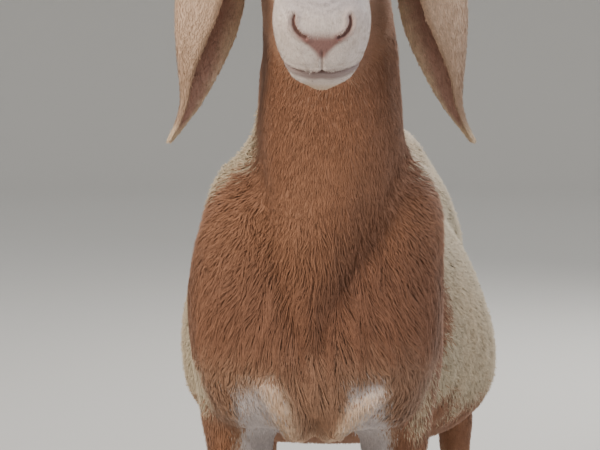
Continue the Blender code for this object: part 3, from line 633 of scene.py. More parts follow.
        kinds = self.bare(points)
        for skin, strength, kind in (
            (self.udder, 0.8, "udder"),
            (self.pad * 1.05, 0.75, "nostril_rim"),
            (self.pad, 0.9, "pad"),
            (self.lip, 0.8, "lips"),
            (self.tan * 0.8, 0.45, "lids"),
            (self.rim, 1.0, "rim"),
            # Painted shade: the line between the lips, the groove under the nose and the nostrils'
            # openings are darkened
            (self.hollow, 0.85, "line"),
            (self.hollow, 1.0, "nostril"),
        ):
            colour = blend(colour, skin, strength * kinds[kind])
        return colour


def almond_metric(along: np.ndarray, up: np.ndarray) -> np.ndarray:
    """The opening between the lids as a metric that is 0 in its middle and 1 on its edge.

    Args:
        along: Distance from the eye's middle towards the back of the head.
        up: Distance across the lids.

    Returns:
        The metric.
    """
    centre = -0.0010 * smooth(-along / 0.013)
    reach = np.abs(along) / np.where(along < 0, 0.0144, 0.0132)
    lens = np.abs(up - centre) / np.where(up > centre, 0.0090, 0.0077)
    return np.sqrt(reach**2.2 + lens**2 + 0.35 * reach**2 * lens)


def nostril_distance(side: np.ndarray, above: np.ndarray) -> tuple:
    """Distance from the wall of the comma-shaped nostril, negative inside it.

    Args:
        side: Distance from the middle of the muzzle.
        above: Height over the head's axis.

    Returns:
        The distance, and the place along the comma from its top (0) to the nose pad (1).
    """
    best = np.full(len(side), 1.0)
    place = np.zeros(len(side))
    last = len(NOSTRIL_TRACE) - 1
    for index, (a, b) in enumerate(zip(NOSTRIL_TRACE, NOSTRIL_TRACE[1:])):
        run = b - a
        share = ((side - a[0]) * run[0] + (above - a[1]) * run[1]) / (run[0] ** 2 + run[1] ** 2)
        share = np.clip(share, 0.0, 1.0)
        gap = np.hypot(side - a[0] - share * run[0], above - a[1] - share * run[1])
        gap -= a[2] + share * run[2]
        place = np.where(gap < best, (index + share) / last, place)
        best = np.minimum(best, gap)
    return best, place


def mouth_height(aside: np.ndarray, along: np.ndarray) -> np.ndarray:
    """The height of the line between the lips at a place of the muzzle."""
    angle = np.abs(np.arctan2(aside, HEAD.mouth_middle - along))
    return HEAD.mouth_above + 0.003 * (1 - np.cos(angle)) + 0.0012 * bell(aside, 0.006)


def fold_gaps(x: np.ndarray, z: np.ndarray) -> tuple:
    """How far outwards points lie from the middle lines of the breast's right and left fold.

    Args:
        x: Distances to the left.
        z: Heights.

    Returns:
        The right fold's distances and the left one's.
    """
    right = -x - 0.042 + 0.026 * np.clip((0.500 - z) / 0.075, 0, 1.1)
    left = x - 0.076 + 0.050 * np.clip((0.490 - z) / 0.050, 0, 1.1)
    return right, left


def fold_share(x: np.ndarray, y: np.ndarray, z: np.ndarray) -> np.ndarray:
    """How far a point lies on one of the two pale folds, which run down and inwards.

    Args:
        x: Distances to the left.
        y: Distances back.
        z: Heights.

    Returns:
        A number between 0 and 1 a point.
    """
    right, left = fold_gaps(x, z)
    right = bell(right, 0.013) * smooth((0.515 - z) / 0.03)
    left = bell(left, 0.015) * smooth((0.500 - z) / 0.03)
    return np.clip(1.35 * np.maximum(right, left), 0, 1) * smooth((-0.30 - y) / 0.04)


def swelling(swells: tuple, place: tuple) -> np.ndarray:
    """How far the swells of a table lift the points whose three coordinates are given.

    Args:
        swells: The table.
        place: The three coordinates, an array each.

    Returns:
        The lift of each point.
    """
    lift = np.zeros(len(place[0]))
    for swell in swells:
        gaps = [(v - c) / r for v, c, r in zip(place, swell.centre, swell.radii)]
        lift += swell.height * np.exp(-(gaps[0] ** 2 + gaps[1] ** 2 + gaps[2] ** 2))
    return lift


def mesh_points(mesh: bpy.types.Mesh, what: str = "co") -> np.ndarray:
    """Reads a three-number value of each vertex.

    Args:
        mesh: The mesh.
        what: The name of the value.

    Returns:
        A row a vertex.
    """
    found = np.empty(len(mesh.vertices) * 3, np.float32)
    mesh.vertices.foreach_get(what, found)
    return found.reshape(-1, 3).astype(float)


def write_points(mesh: bpy.types.Mesh, points: np.ndarray) -> None:
    """Moves the vertices of a mesh."""
    mesh.vertices.foreach_set("co", points.astype(np.float32).ravel())
    mesh.update()


def relax(mesh: bpy.types.Mesh, weights: np.ndarray, rounds: int) -> None:
    """Smooths a mesh.

    Args:
        mesh: The mesh to smooth.
        weights: How strongly each vertex is smoothed, from 0 to 1.
        rounds: How often.
    """
    points = mesh_points(mesh)
    count = len(points)
    edges = np.empty(len(mesh.edges) * 2, np.int32)
    mesh.edges.foreach_get("vertices", edges)
    first, second = edges.reshape(-1, 2).T
    degree = np.bincount(first, minlength=count) + np.bincount(second, minlength=count)
    for _ in range(rounds):
        total = np.empty_like(points)
        for axis in range(3):
            value = points[:, axis]
            total[:, axis] = np.bincount(first, value[second], count)
            total[:, axis] += np.bincount(second, value[first], count)
        points += (weights * 0.5)[:, None] * (total / degree[:, None] - points)
    write_points(mesh, points)


def refine(mesh: bpy.types.Mesh, chosen: np.ndarray) -> None:
    """Cuts each face between chosen vertices in four.

    Args:
        mesh: The mesh.
        chosen: Whether each vertex is chosen.
    """
    shape = bmesh.new()
    shape.from_mesh(mesh)
    edges = [e for e in shape.edges if chosen[e.verts[0].index] and chosen[e.verts[1].index]]
    bmesh.ops.subdivide_edges(shape, edges=edges, cuts=1, use_grid_fill=True)
    shape.to_mesh(mesh)
    shape.free()
    mesh.update()


def link(name: str, mesh: bpy.types.ID) -> bpy.types.Object:
    """Puts a mesh, a lamp or a camera in the scene as an object at the origin.

    Args:
        name: The object's name.
        mesh: Its data.

    Returns:
        The object.
    """
    thing = bpy.data.objects.new(name, mesh)
    bpy.context.scene.collection.objects.link(thing)
    return thing


def finish_shape(shape: bmesh.types.BMesh, name: str) -> bpy.types.Object:
    """Turns a bmesh's faces outwards and makes it a smooth piece.

    Args:
        shape: The bmesh, which is freed.
        name: The name of the piece.

    Returns:
        The piece.
    """
    bmesh.ops.recalc_face_normals(shape, faces=shape.faces)
    mesh = bpy.data.meshes.new(name)
    shape.to_mesh(mesh)
    shape.free()
    mesh.shade_smooth()
    log.info("%s: %d faces", name, len(mesh.polygons))
    return link(name, mesh)


def shell(name: str, points: np.ndarray, faces: list) -> bpy.types.Object:
    """Makes a smooth piece of points and faces.

    Args:
        name: The name of the piece.
        points: Its vertices.
        faces: The vertices of each face.

    Returns:
        The piece.
    """
    mesh = bpy.data.meshes.new(name)
    mesh.from_pydata(points.tolist(), [], faces)
    shape = bmesh.new()
    shape.from_mesh(mesh)
    bpy.data.meshes.remove(mesh)
    return finish_shape(shape, name)


def paint(mesh: bpy.types.Mesh, colours: np.ndarray, bare: np.ndarray = None) -> None:
    """Stores the coat's colour and, on skin, its bareness at each vertex.

    Args:
        mesh: The mesh.
        colours: A colour a vertex.
        bare: A bareness a vertex.
    """
    layer = mesh.color_attributes.new("coat_colour", "FLOAT_COLOR", "POINT")
    rgba = np.ones((len(colours), 4), np.float32)
    rgba[:, :3] = colours
    layer.data.foreach_set("color", rgba.ravel())
    if bare is not None:
        layer = mesh.attributes.new("bare", "FLOAT", "POINT")
        layer.data.foreach_set("value", bare.astype(np.float32))


@dataclass
class Skin:
    """The one skin that takes the place of all nodes of flesh."""

    frame: dict
    sheep: Sheep
    markings: Markings
    piece: bpy.types.Object = None

    NODES = (
        "head", "neck", "torso", "fat_rump",
        "foreleg_left", "foreleg_right", "hind_leg_left", "hind_leg_right",
    )

    def build(self) -> bpy.types.Object:
        """Makes the skin and returns the finished piece.

        Returns:
            The skin.
        """
        self.fuse()
        mesh = self.piece.data
        self.settle()
        for near in (self.near_head, self.near_face, self.near_features):
            refine(mesh, near(mesh_points(mesh)))
            relax(mesh, near(mesh_points(mesh)) * 1.0, 2)
        self.shape_body()
        self.shape_head()
        self.open_eyes()
        self.sink_coronets()
        points = mesh_points(mesh)
        paint(mesh, self.markings(points), self.markings.bareness(points))
        mesh.shade_smooth()
        log.info("skin: %d faces", len(mesh.polygons))
        return self.piece

    def fuse(self) -> None:
        """Joins copies of the solids, grown a little so that the cuts close, by voxels."""
        shape = bmesh.new()
        for name in self.NODES:
            part = bmesh.new()
            part.from_mesh(self.frame["nodes"][name].data)
            bmesh.ops.remove_doubles(part, verts=part.verts, dist=1e-5)
            part.normal_update()
            for vertex in part.verts:
                vertex.co += vertex.normal * SKIN.cut_closing
            grown = bpy.data.meshes.new(name)
            part.to_mesh(grown)
            part.free()
            shape.from_mesh(grown)
            bpy.data.meshes.remove(grown)
        for side, _ in SIDES:
            root = self.sheep.from_ear(np.array([[side * 0.070, EAR_Y, 0.994]]))[0]
            socket = (HEAD.socket_radius,) * 3
            for centre, radii in ((self.sheep.eye_axes(side)[0], socket), (root, (0.025, 0.016, 0.022))):
                place = Matrix.Translation(Vector(centre)) @ Matrix.Diagonal((*radii, 1))
                bmesh.ops.create_uvsphere(shape, u_segments=24, v_segments=16, radius=1.0, matrix=place)
        mesh = bpy.data.meshes.new("skin")
        shape.to_mesh(mesh)
        shape.free()
        self.piece = link("skin", mesh)
        remesh = self.piece.modifiers.new("fuse", "REMESH")
        remesh.mode = "VOXEL"
        remesh.voxel_size = SKIN.voxel
        graph = bpy.context.evaluated_depsgraph_get()
        graph.update()
        self.piece.data = bpy.data.meshes.new_from_object(self.piece.evaluated_get(graph))
        self.piece.modifiers.clear()
        bpy.data.meshes.remove(mesh)

    def settle(self) -> None:
        """Smooths away the voxels and the solid locks, then sinks the skin under the coat."""
        mesh = self.piece.data
        share = self.sheep.shares(mesh_points(mesh))
        relax(mesh, 1 - 0.75 * np.maximum(share["head"], share["leg"]), SKIN.body_rounds)
        relax(mesh, share["breast"], 25)
        points = mesh_points(mesh)
        share = self.sheep.shares(points)
        depth = 0.0050 - 0.0015 * share["neck"]
        for part, sunk in (("leg", 0.0034), ("low_leg", 0.0018), ("head", 0.0016)):
            depth = depth * (1 - share[part]) + sunk * share[part]
        write_points(mesh, points - mesh_points(mesh, "normal") * depth[:, None])

    def near_head(self, points: np.ndarray) -> np.ndarray:
        """Whether each point lies on the head or by the folds of the breast.

        Args:
            points: Points of the row frame.

        Returns:
            A truth value a point.
        """
        x, y, z = self.sheep.body(points).T
        folds = (np.abs(x) < 0.11) & (y < -0.24) & (np.abs(z - 0.465) < 0.065)
        return (self.sheep.head_share(points) > 0.3) | folds

    def eye_distance(self, points: np.ndarray) -> np.ndarray:
        """The distance of each point from the nearer eye."""
        gaps = [np.linalg.norm(points - self.sheep.eye_axes(side)[0], axis=1) for side, _ in SIDES]
        return np.minimum(*gaps)

    def near_face(self, points: np.ndarray) -> np.ndarray:
        """Whether each point lies on the muzzle or round an eye."""
        near = (self.sheep.head(points)[:, 1] < 0.075) | (self.eye_distance(points) < 0.031)
        return near & (self.sheep.head_share(points) > 0.3)

    def near_features(self, points: np.ndarray) -> np.ndarray:
        """Whether each point lies by the nostrils, the lips or the lids.

        Args:
            points: Points of the row frame.

        Returns:
            A truth value a point.
        """
        aside, along, above = self.sheep.head(points).T
        near = (nostril_distance(np.abs(aside), above)[0] < 0.0065) & (along < 0.05)
        near |= (np.abs(aside) < 0.012) & (along < 0.03) & (above < 0.024) & (above > -0.04)
        near |= (np.abs(above - mouth_height(aside, along)) < 0.005) & (along < 0.085)
        near |= (self.eye_distance(points) < 0.0225) & (np.abs(aside) > self.sheep.eye_aside - 0.002)
        return near & (self.sheep.head_share(points) > 0.3)

    def shape_body(self) -> None:
        """Models muscle, bone, the grooves beside the keel and the folds of the breast."""
        mesh = self.piece.data
        points, normals = mesh_points(mesh), mesh_points(mesh, "normal")
        x, y, z = self.sheep.body(points).T
        lift = swelling(BODY_SWELLS, (np.abs(x), y, z))
        front = smooth(-normals[:, 1] / 0.5) * smooth((-0.26 - y) / 0.05)
        keel = 0.082 * smooth((z - 0.515) / 0.25) ** 0.8 + 0.004
        groove = bell(np.abs(x) - keel, 0.015) * smooth((z - 0.50) / 0.05) * smooth((0.80 - z) / 0.10)
        lift += 0.0095 * fold_share(x, y, z) - 0.0070 * groove * front
        for gap in fold_gaps(x, z):
            edge = bell(gap - 0.019, 0.0055) * smooth((0.497 - z) / 0.03)
            lift -= 0.0060 * edge * front * smooth((z - 0.415) / 0.02)
        lift -= 0.006 * bell(x - 0.004, 0.010) * smooth((0.475 - z) / 0.03) * front
        lift -= 0.012 * bell(x, 0.010) * smooth((y - 0.50) / 0.03) * smooth((0.74 - z) / 0.06)
        lift += 0.0011 * Noise(21, 0.06)(points) * (1 - self.sheep.head_share(points))
        write_points(mesh, points + normals * lift[:, None])

    def shape_head(self) -> None:
        """Models the skull, the nostrils, the split upper lip and the mouth."""
        mesh = self.piece.data
        points, normals = mesh_points(mesh), mesh_points(mesh, "normal")
        aside, along, above = self.sheep.head(points).T
        side = np.abs(aside)
        head = self.sheep.head_share(points)
        lift = swelling(HEAD_SWELLS, (side, along, above))
        distance, place = nostril_distance(side, above)
        front = smooth((0.046 - along) / 0.014)
        lift += 0.0016 * bell(distance - 0.0034, 0.0024) * front * (1 - 0.5 * place)
        gap = above - mouth_height(aside, along)
        reach = smooth((0.084 - along) / 0.02)
        for height, middle, width in (
            (-0.0042, 0.0, 0.0013),
            (0.0014, 0.0040, 0.0028),
            (0.0008, -0.0040, 0.0028),
        ):
            lift += height * bell(gap - middle, width) * reach
        near = smooth((0.05 - along) / 0.02)
        philtrum = bell(aside, 0.0013) * smooth((-0.003 - above) / 0.005)
        lift -= 0.0018 * philtrum * smooth((gap + 0.001) / 0.003) * near
        wrinkle = np.sin(math.tau * (above - 0.25 * side) / 0.0052)
        lift += 0.00035 * wrinkle * bell(above - 0.043, 0.010) * bell(side, 0.020) * near
        moved = points + normals * (lift * head)[:, None]
        deep = 0.0024 * (1 - smooth((distance + 0.0008) / 0.0028)) * front * head
        inward = unit(np.stack((-0.35 * np.sign(aside), np.ones_like(side), 0 * side), axis=1))
        write_points(mesh, moved + (inward * deep[:, None]) @ self.sheep.head_axes)

    def open_eyes(self) -> None:
        """Sinks the skin behind the eyeball inside the lids and lays the lids over it."""
        mesh = self.piece.data
        points = mesh_points(mesh)
        for side, _ in SIDES:
            metric, local = self.sheep.eye_metric(points, side)
            centre, axes = self.sheep.eye_axes(side)
            radius = np.linalg.norm(local, axis=1)
            up = local[:, 1]
            lid = HEAD.lid_radius + 0.0012 * smooth((metric - 1.0) / 0.5) * (up > 0)
            lids = lid + (np.maximum(radius, lid) - lid) * smooth((metric - 1.15) / 1.35)
            crease = bell(metric - 1.95, 0.22) * smooth(up / 0.004)
            pouch = bell(metric - 1.9, 0.25) * smooth(-up / 0.004)
            lids -= 0.0013 * crease + 0.0008 * pouch
            wanted = np.where(metric < 1.0, HEAD.hollow_radius, lids)
            moved = centre + (local * (wanted / radius)[:, None]) @ axes
            near = (radius < 0.034) & (local[:, 2] / radius > 0.05) & (metric < 2.5)
            points = np.where(near[:, None], moved, points)
        write_points(mesh, points)

    def sink_coronets(self) -> None:
        """Draws the lower ends of the legs down into the hooves."""
        points = mesh_points(self.piece.data)
        points[:, 2] -= 0.006 * smooth((SKIN.coronet_height + 0.012 - points[:, 2]) / 0.020)
        write_points(self.piece.data, points)


class Fur:
    """The triangles of a skin, which tufts are rooted in."""

    def __init__(self, mesh: bpy.types.Mesh) -> None:
        """Reads the skin's triangles.

        Args:
            mesh: The skin's mesh.
        """
        mesh.calc_loop_triangles()
        corners = np.empty(len(mesh.loop_triangles) * 3, np.int32)
        mesh.loop_triangles.foreach_get("vertices", corners)
        self.corners = corners.reshape(-1, 3)
        self.points = mesh_points(mesh)
        self.normals = mesh_points(mesh, "normal")
        a, b, c = (self.points[self.corners[:, k]] for k in range(3))
        self.areas = np.linalg.norm(np.cross(b - a, c - a), axis=1) / 2

    def plant(self, density: np.ndarray, seed: int) -> tuple:
        """Draws places on the skin.

        Args:
            density: How many tufts a square metre each vertex asks for.
            seed: The seed of the draw.

        Returns:
            The places as triangles' corners and weights, the roots there and the normals.
        """
        rng = np.random.default_rng(seed)
        amount = self.areas * density[self.corners].mean(axis=1)
        count = int(amount.sum())
        chosen = rng.choice(len(amount), size=count, p=amount / amount.sum())
        first, second = rng.random((2, count))
        over = first + second > 1
        first[over], second[over] = 1 - first[over], 1 - second[over]
        place = self.corners[chosen], np.stack((1 - first - second, first, second), axis=1)
        return place, self.at(self.points, place), unit(self.at(self.normals, place))

    @staticmethod
    def at(values: np.ndarray, place: tuple) -> np.ndarray:
        """The values of the vertices, mixed for each place.

        Args:
            values: A value a vertex.
            place: The corners and weights of each place.

        Returns:
            A value a place.
        """
        corners, weights = place
        picked = values[corners]
        return (picked * (weights if picked.ndim == 2 else weights[:, :, None])).sum(axis=1)


@dataclass
class Tufts:
    """Thin, tapered ribbons.

    Attributes:
        lines: The middle line of each, as (ribbon, station, axis).
        normals: The way each faces.
        half: Half the full width of each.
        profile: The share of that width at each station but the tip.
        colour: The colour of each.
        tone: What the colour is multiplied by at each station; where it rises from root to tip, it is
            painted shade among the hairs and painted light at the tips.
        roots: The place of each root on the unwrap.
    """

    lines: np.ndarray
    normals: np.ndarray
    half: np.ndarray
    profile: tuple
    colour: np.ndarray
    tone: tuple
    roots: np.ndarray

    def piece(self, name: str, chosen=slice(None)) -> bpy.types.Object:
        """Makes one mesh of the chosen ribbons.

        Args:
            name: The name of the piece.
            chosen: Which ribbons it has.

        Returns:
            The piece, without a material.
        """
        lines, normals = self.lines[chosen], self.normals[chosen]
        colours = self.colour[chosen][:, None, :] * np.array(self.tone)[None, :, None]
        count, stations, _ = lines.shape
        heading = unit(lines[:, -1] - lines[:, 0])
        beside = unit(np.cross(normals, heading))
        width = self.half[chosen][:, None] * np.array(self.profile)[None]
        edge = width[:, :, None] * beside[:, None, :]
        soft = unit(0.7 * normals + 0.3 * unit(np.cross(heading, beside)))[:, None, :]
        slant = 0.25 * beside[:, None, :]
        rise = np.outer(np.linspace(-HALF_PATCH, HALF_PATCH, stations), (0.0, 1.0))
        flat = self.roots[chosen][:, None, :] + rise
        aside = np.array((HALF_PATCH, 0.0))
        per = 2 * stations - 1

        def ribbons(left: np.ndarray, right: np.ndarray, tip: np.ndarray) -> np.ndarray:
            """Orders values as the vertices are: left and right at each station, then the tip.

            Args:
                left: The left values.
                right: The right values.
                tip: The tips' values.

            Returns:
                A row a vertex.
            """
            found = np.empty((count, per, tip.shape[-1]), np.float32)
            found[:, 0:-1:2], found[:, 1:-1:2], found[:, -1] = left, right, tip
            return found.reshape(count * per, -1)

        faces = []
        for a in range(0, 2 * (stations - 2), 2):
            faces += [(a, a + 3, a + 1), (a, a + 2, a + 3)]
        faces.append((per - 3, per - 1, per - 2))
        index = (np.arange(count) * per)[:, None, None] + np.array(faces)[None]
        loops = index.reshape(-1).astype(np.int32)

        mesh = bpy.data.meshes.new(name)
        mesh.vertices.add(count * per)
        points = ribbons(lines[:, :-1] - edge, lines[:, :-1] + edge, lines[:, -1])
        mesh.vertices.foreach_set("co", points.ravel())
        mesh.loops.add(len(loops))
        mesh.loops.foreach_set("vertex_index", loops)
        mesh.polygons.add(len(loops) // 3)
        mesh.polygons.foreach_set("loop_start", np.arange(0, len(loops), 3, dtype=np.int32))
        mesh.update(calc_edges=True)
        mesh.shade_smooth()
        layer = mesh.uv_layers.new(name="OFBake")
        places = ribbons(flat[:, :-1] - aside, flat[:, :-1] + aside, flat[:, -1])
        layer.data.foreach_set("uv", places[loops].ravel())
        paint(mesh, ribbons(colours[:, :-1], colours[:, :-1], colours[:, -1]))
        shading = ribbons(soft - slant, soft + slant, soft[:, 0])
        mesh.normals_split_custom_set_from_vertices(unit(shading).tolist())
        log.info("%s: %d tufts, %d triangles", name, count, len(loops) // 3)
        return link(name, mesh)


class Coat:
    """The hair of the whole sheep, as solid tufts over the skin."""

    def __init__(self, skin: bpy.types.Object, sheep: Sheep, markings: Markings) -> None:
        """Lays out how the hair lies and where the finished skin is bare.

        Args:
            skin: The finished skin.
            sheep: The coordinates of the sheep.
            markings: The colours.
        """
        self.sheep = sheep
        self.markings = markings
        self.fur = Fur(skin.data)
        self.pieces = []
        self.share = sheep.shares(self.fur.points)
        self.flow = self.lie()
        self.bare = markings.bareness(self.fur.points)

    def lie(self) -> np.ndarray:
        """The way the hair points along the skin, as one unit vector a vertex.

        Returns:
            A row a vertex.
        """
        points, normals, share = self.fur.points, self.fur.normals, self.share
        x, y, z = self.sheep.body(points).T
        spread = np.clip(x / 0.11, -1, 1) * (1 - 1.6 * smooth((0.53 - z) / 0.07))
        fan = np.outer(spread, (0.62, 0.0, 0.0)) + (0.0, 0.10, -1.0)
        way = blend((0.0, 0.62, -0.78), (0.0, 0.30, -0.95), share["rump"])
        way = blend(way, fan, share["breast"])
        way = blend(way, (0.0, 0.16, -1.0), share["neck"])
        way = blend(way, (0.0, 0.14, -1.0), share["leg"])

        aside, along, above = self.sheep.head(points).T
        outwards = np.outer(np.sign(aside), (1.0, 0.0, 0.0))
        cheek = 0.1 * outwards + (0.0, 0.55, -0.8)
        poll = 0.25 * outwards + (0.0, 0.7, -0.9)
        face = 0.25 * outwards + (0.0, -1.0, -0.25)
        face = blend(face, cheek, smooth((along - 0.11) / 0.07) * smooth((0.040 - above) / 0.04))
        face = blend(face, poll, smooth((along - 0.205) / 0.04) * smooth((above - 0.03) / 0.03))
        face = blend(face, (0.0, 0.5, -0.6), smooth((-0.040 - above) / 0.012))
        way = blend(way, face @ self.sheep.head_axes, share["head"])
        stray = np.stack([Noise(31 + k, 0.10)(points) for k in range(3)], axis=1)
        way += stray * (0.16 - 0.09 * share["neck"])[:, None]
        return unit(way - normals * (way * normals).sum(axis=1)[:, None])

    def grow(
        self,
        name: str,
        density: np.ndarray,
        sizes: tuple,
        seed: int,
        wild: float = 0.16,
        stations: int = 3,
    ) -> None:
        """Grows short tufts over the skin, a piece or more for each region.

        Args:
            name: What the pieces' names start with.
            density: Tufts a square metre at each vertex.
            sizes: Their length, full width and the height of their tips, each at each vertex.
            seed: The seed of the draw.
            wild: How far the tufts turn aside at random, in radians.
            stations: How many points each tuft's middle line has.
        """
        place, root, normal = self.fur.plant(density, seed)
        rng = np.random.default_rng(seed + 1)
        count = len(root)
        flow = unit(self.fur.at(self.flow, place))
        length, width, lift = (self.fur.at(size, place) for size in sizes)
        reach = length * rng.uniform(0.75, 1.25, count)
        half = width * rng.uniform(0.75, 1.25, count) / 2
        rise = lift * rng.uniform(0.6, 1.35, count)
        clump = Noise(seed + 2, 0.022)(root)
        turn = wild * (rng.normal(size=count) + 1.1 * clump)
        heading = flow * np.cos(turn)[:, None] + np.cross(normal, flow) * np.sin(turn)[:, None]
        beside = np.cross(normal, heading)
        bend = reach * wild * rng.normal(size=count) * 0.6
        lines = np.empty((count, stations, 3))
        for k, step in enumerate(np.linspace(0.0, 1.0, stations)):
            height = rise * math.sin(min(1.0, step * 1.15) * math.pi / 2) - 0.0012 * (1 - step)
            along = heading * (reach * step)[:, None]
            lines[:, k] = root + along + normal * height[:, None] + beside * (bend * step**2)[:, None]
        share = self.sheep.shares(root)
        jitter = 0.0005 + 0.0085 * (1 - share["head"]) * (1 - 0.6 * share["leg"])
        colour = self.markings(root + jitter[:, None] * rng.normal(size=root.shape))
        shade = np.clip(rng.normal(1.0, 0.050, count) * (1 + 0.06 * clump), 0.6, 1.4)
        # Painted shade at each tuft's root and painted light at its tip, through the tone
        tufts = Tufts(
            lines,
            normal,
            half,
            (0.85, 1.0, 0.8)[: stations - 1],
            colour * shade[:, None],
            np.linspace(0.90, 1.05, stations),
            np.zeros((count, 2)),
        )
        regions = self.sheep.regions(root)
        for number, region in enumerate(Region):
            chosen = np.flatnonzero(regions == number)
            if len(chosen) < SMALLEST_PIECE:
                continue
            tufts.roots[chosen] = self.sheep.unwrap(root[chosen], region)
            chosen = chosen[np.argsort(root[chosen, 1])]
            parts = math.ceil(len(chosen) * (2 * stations - 3) / TRIANGLE_LIMIT)
            slot = Slot.GINGER if region in (Region.NECK, Region.FORELEGS) else Slot.WHITE
            for part, members in enumerate(np.array_split(chosen, parts)):
                piece = tufts.piece(f"{name}_{region.value}_{part + 1}", members)
                self.pieces.append((piece, slot))

    def grow_short(self) -> None:
        """Grows the short coat that covers the whole sheep."""
        share = self.share
        points = self.fur.points
        muzzle = smooth((0.10 - self.sheep.head(points)[:, 1]) / 0.06) * share["head"]
        layers = (share["neck"], share["leg"], share["low_leg"], share["head"], muzzle)

        def field(value: float, *others: float) -> np.ndarray:
            """A size on the trunk, and then on the neck, legs, feet, face and nose.

            Args:
                value: The size on the trunk.
                others: The sizes on the other layers.

            Returns:
                A size a vertex.
            """
            for other, layer in zip(others, layers):
                value = value + (other - value) * layer
            return value

        fine = 1 - 0.22 * share["breast"]
        spacing = field(0.00242, 0.0017, 0.0021, 0.0020, 0.00165, 0.0014) * (1 - 0.14 * share["breast"])
        density = (1 - smooth((self.bare - 0.25) / 0.4)) / spacing**2
        for side, _ in SIDES:
            metric, local = self.sheep.eye_metric(points, side)
            density *= ~((metric < 1.35) & (local[:, 2] > 0) & (np.abs(local).max(axis=1) < 0.03))
        density *= smooth((points[:, 2] - 0.026) / 0.008)
        x, y, z = self.sheep.body(points).T
        folds = np.maximum(fold_share(x, y, z), smooth((0.515 - z) / 0.02) * share["breast"])
        length = field(0.0140, 0.0115, 0.0100, 0.0080, 0.0062, 0.0042) * (1 - 0.35 * folds)
        width = field(0.0011, 0.0008, 0.0010, 0.0010, 0.0007, 0.0006) * fine
        lift = field(0.0032, 0.0015, 0.0018, 0.0014, 0.0008, 0.0005) * fine * (1 - 0.45 * folds)
        self.grow("coat", density, (length, width, lift), 101)

    def grow_wool(self) -> None:
        """Grows the looser, woolly tufts of the white saddle, the rump and the shoulders' rim."""
        points = self.fur.points
        x, y, z = self.sheep.body(points).T
        white = smooth((self.markings(points)[:, 2] - 0.20) / 0.12)
        rest = (1 - self.share["head"]) * (1 - self.share["leg"])
        patches = smooth(0.55 + 0.9 * Noise(41, 0.09)(points))
        rim = bell(y + 0.13, 0.05)
        density = white * rest * (34000 + 36000 * patches + 30000 * rim) * (1 - self.share["breast"])
        density *= np.maximum(smooth((y + 0.20) / 0.05), smooth((z - 0.60) / 0.05))
        sizes = [np.full(len(points), size) for size in (0.0125, 0.0010, 0.0048)]
        self.grow("wool", density, sizes, 201, wild=0.50, stations=4)

    def grow_breast(self) -> None:
        """Grows the long, wavy strands of the breast in clumps that fan down and outwards."""
        skin = self.fur.points
        tree = BVHTree.FromPolygons(skin.tolist(), self.fur.corners.tolist())
        x, y, z = self.sheep.body(skin).T
        zone = self.share["breast"] + 0.7 * self.share["neck"] * smooth((0.70 - z) / 0.08)
        zone = np.clip(zone, 0, 1) * smooth((-0.24 - y) / 0.06) * (1 - self.share["head"])
        brown = smooth((0.32 - self.markings(skin)[:, 2]) / 0.1)
        zone = zone * brown * (1 - fold_share(x, y, z))
        place, root, normal = self.fur.plant(zone * 110000 * smooth((z - 0.43) / 0.03), 301)
        rng = np.random.default_rng(302)
        heading = unit(self.fur.at(self.flow, place))
        count = len(root)
        aside, _, height = self.sheep.body(root).T
        reach = (0.018 + 0.024 * smooth((0.66 - height) / 0.10)) * rng.uniform(0.75, 1.25, count)
        reach *= 1 - 0.7 * smooth((0.560 - height) / 0.05) * smooth((np.abs(aside) - 0.015) / 0.02)
        wave, sway, tint = Noise(303, 0.020), Noise(304, 0.011), Noise(305, 0.013)
        steps = 4
        lines = np.empty((count, steps + 1, 3))
        lines[:, 0] = root - normal * 0.0015
        current, facing = root, normal
        for k in range(1, steps + 1):
            turn = 0.24 * wave(current) + 0.11 * sway(current)
            beside = np.cross(facing, heading)
            step = unit(heading + beside * turn[:, None]) * (reach / steps)[:, None]
            near = [tree.find_nearest(Vector(point)) for point in current + step]
            current, facing = (np.array([hit[item] for hit in near]) for item in (0, 1))
            heading = unit(step - facing * (step * facing).sum(axis=1)[:, None])
            height = 0.0022 + 0.0014 * k / steps + 0.0008 * tint(current)
            lines[:, k] = current + facing * height[:, None]
        half = rng.uniform(0.00025, 0.00055, count)
        shade = np.clip(rng.normal(0.98, 0.06, count) + 0.09 * tint(root), 0.5, 1.5)
        # Painted shade at each strand's root and painted light at its tip, through the tone
        tufts = Tufts(
            lines,
            normal,
            half,
            (0.8, 1.0, 0.9, 0.6),
            self.markings(root) * shade[:, None],
            (0.84, 0.93, 0.98, 1.01, 1.04),
            self.sheep.unwrap(root, Region.NECK),
        )
        self.pieces.append((tufts.piece("breast_strands"), Slot.GINGER))


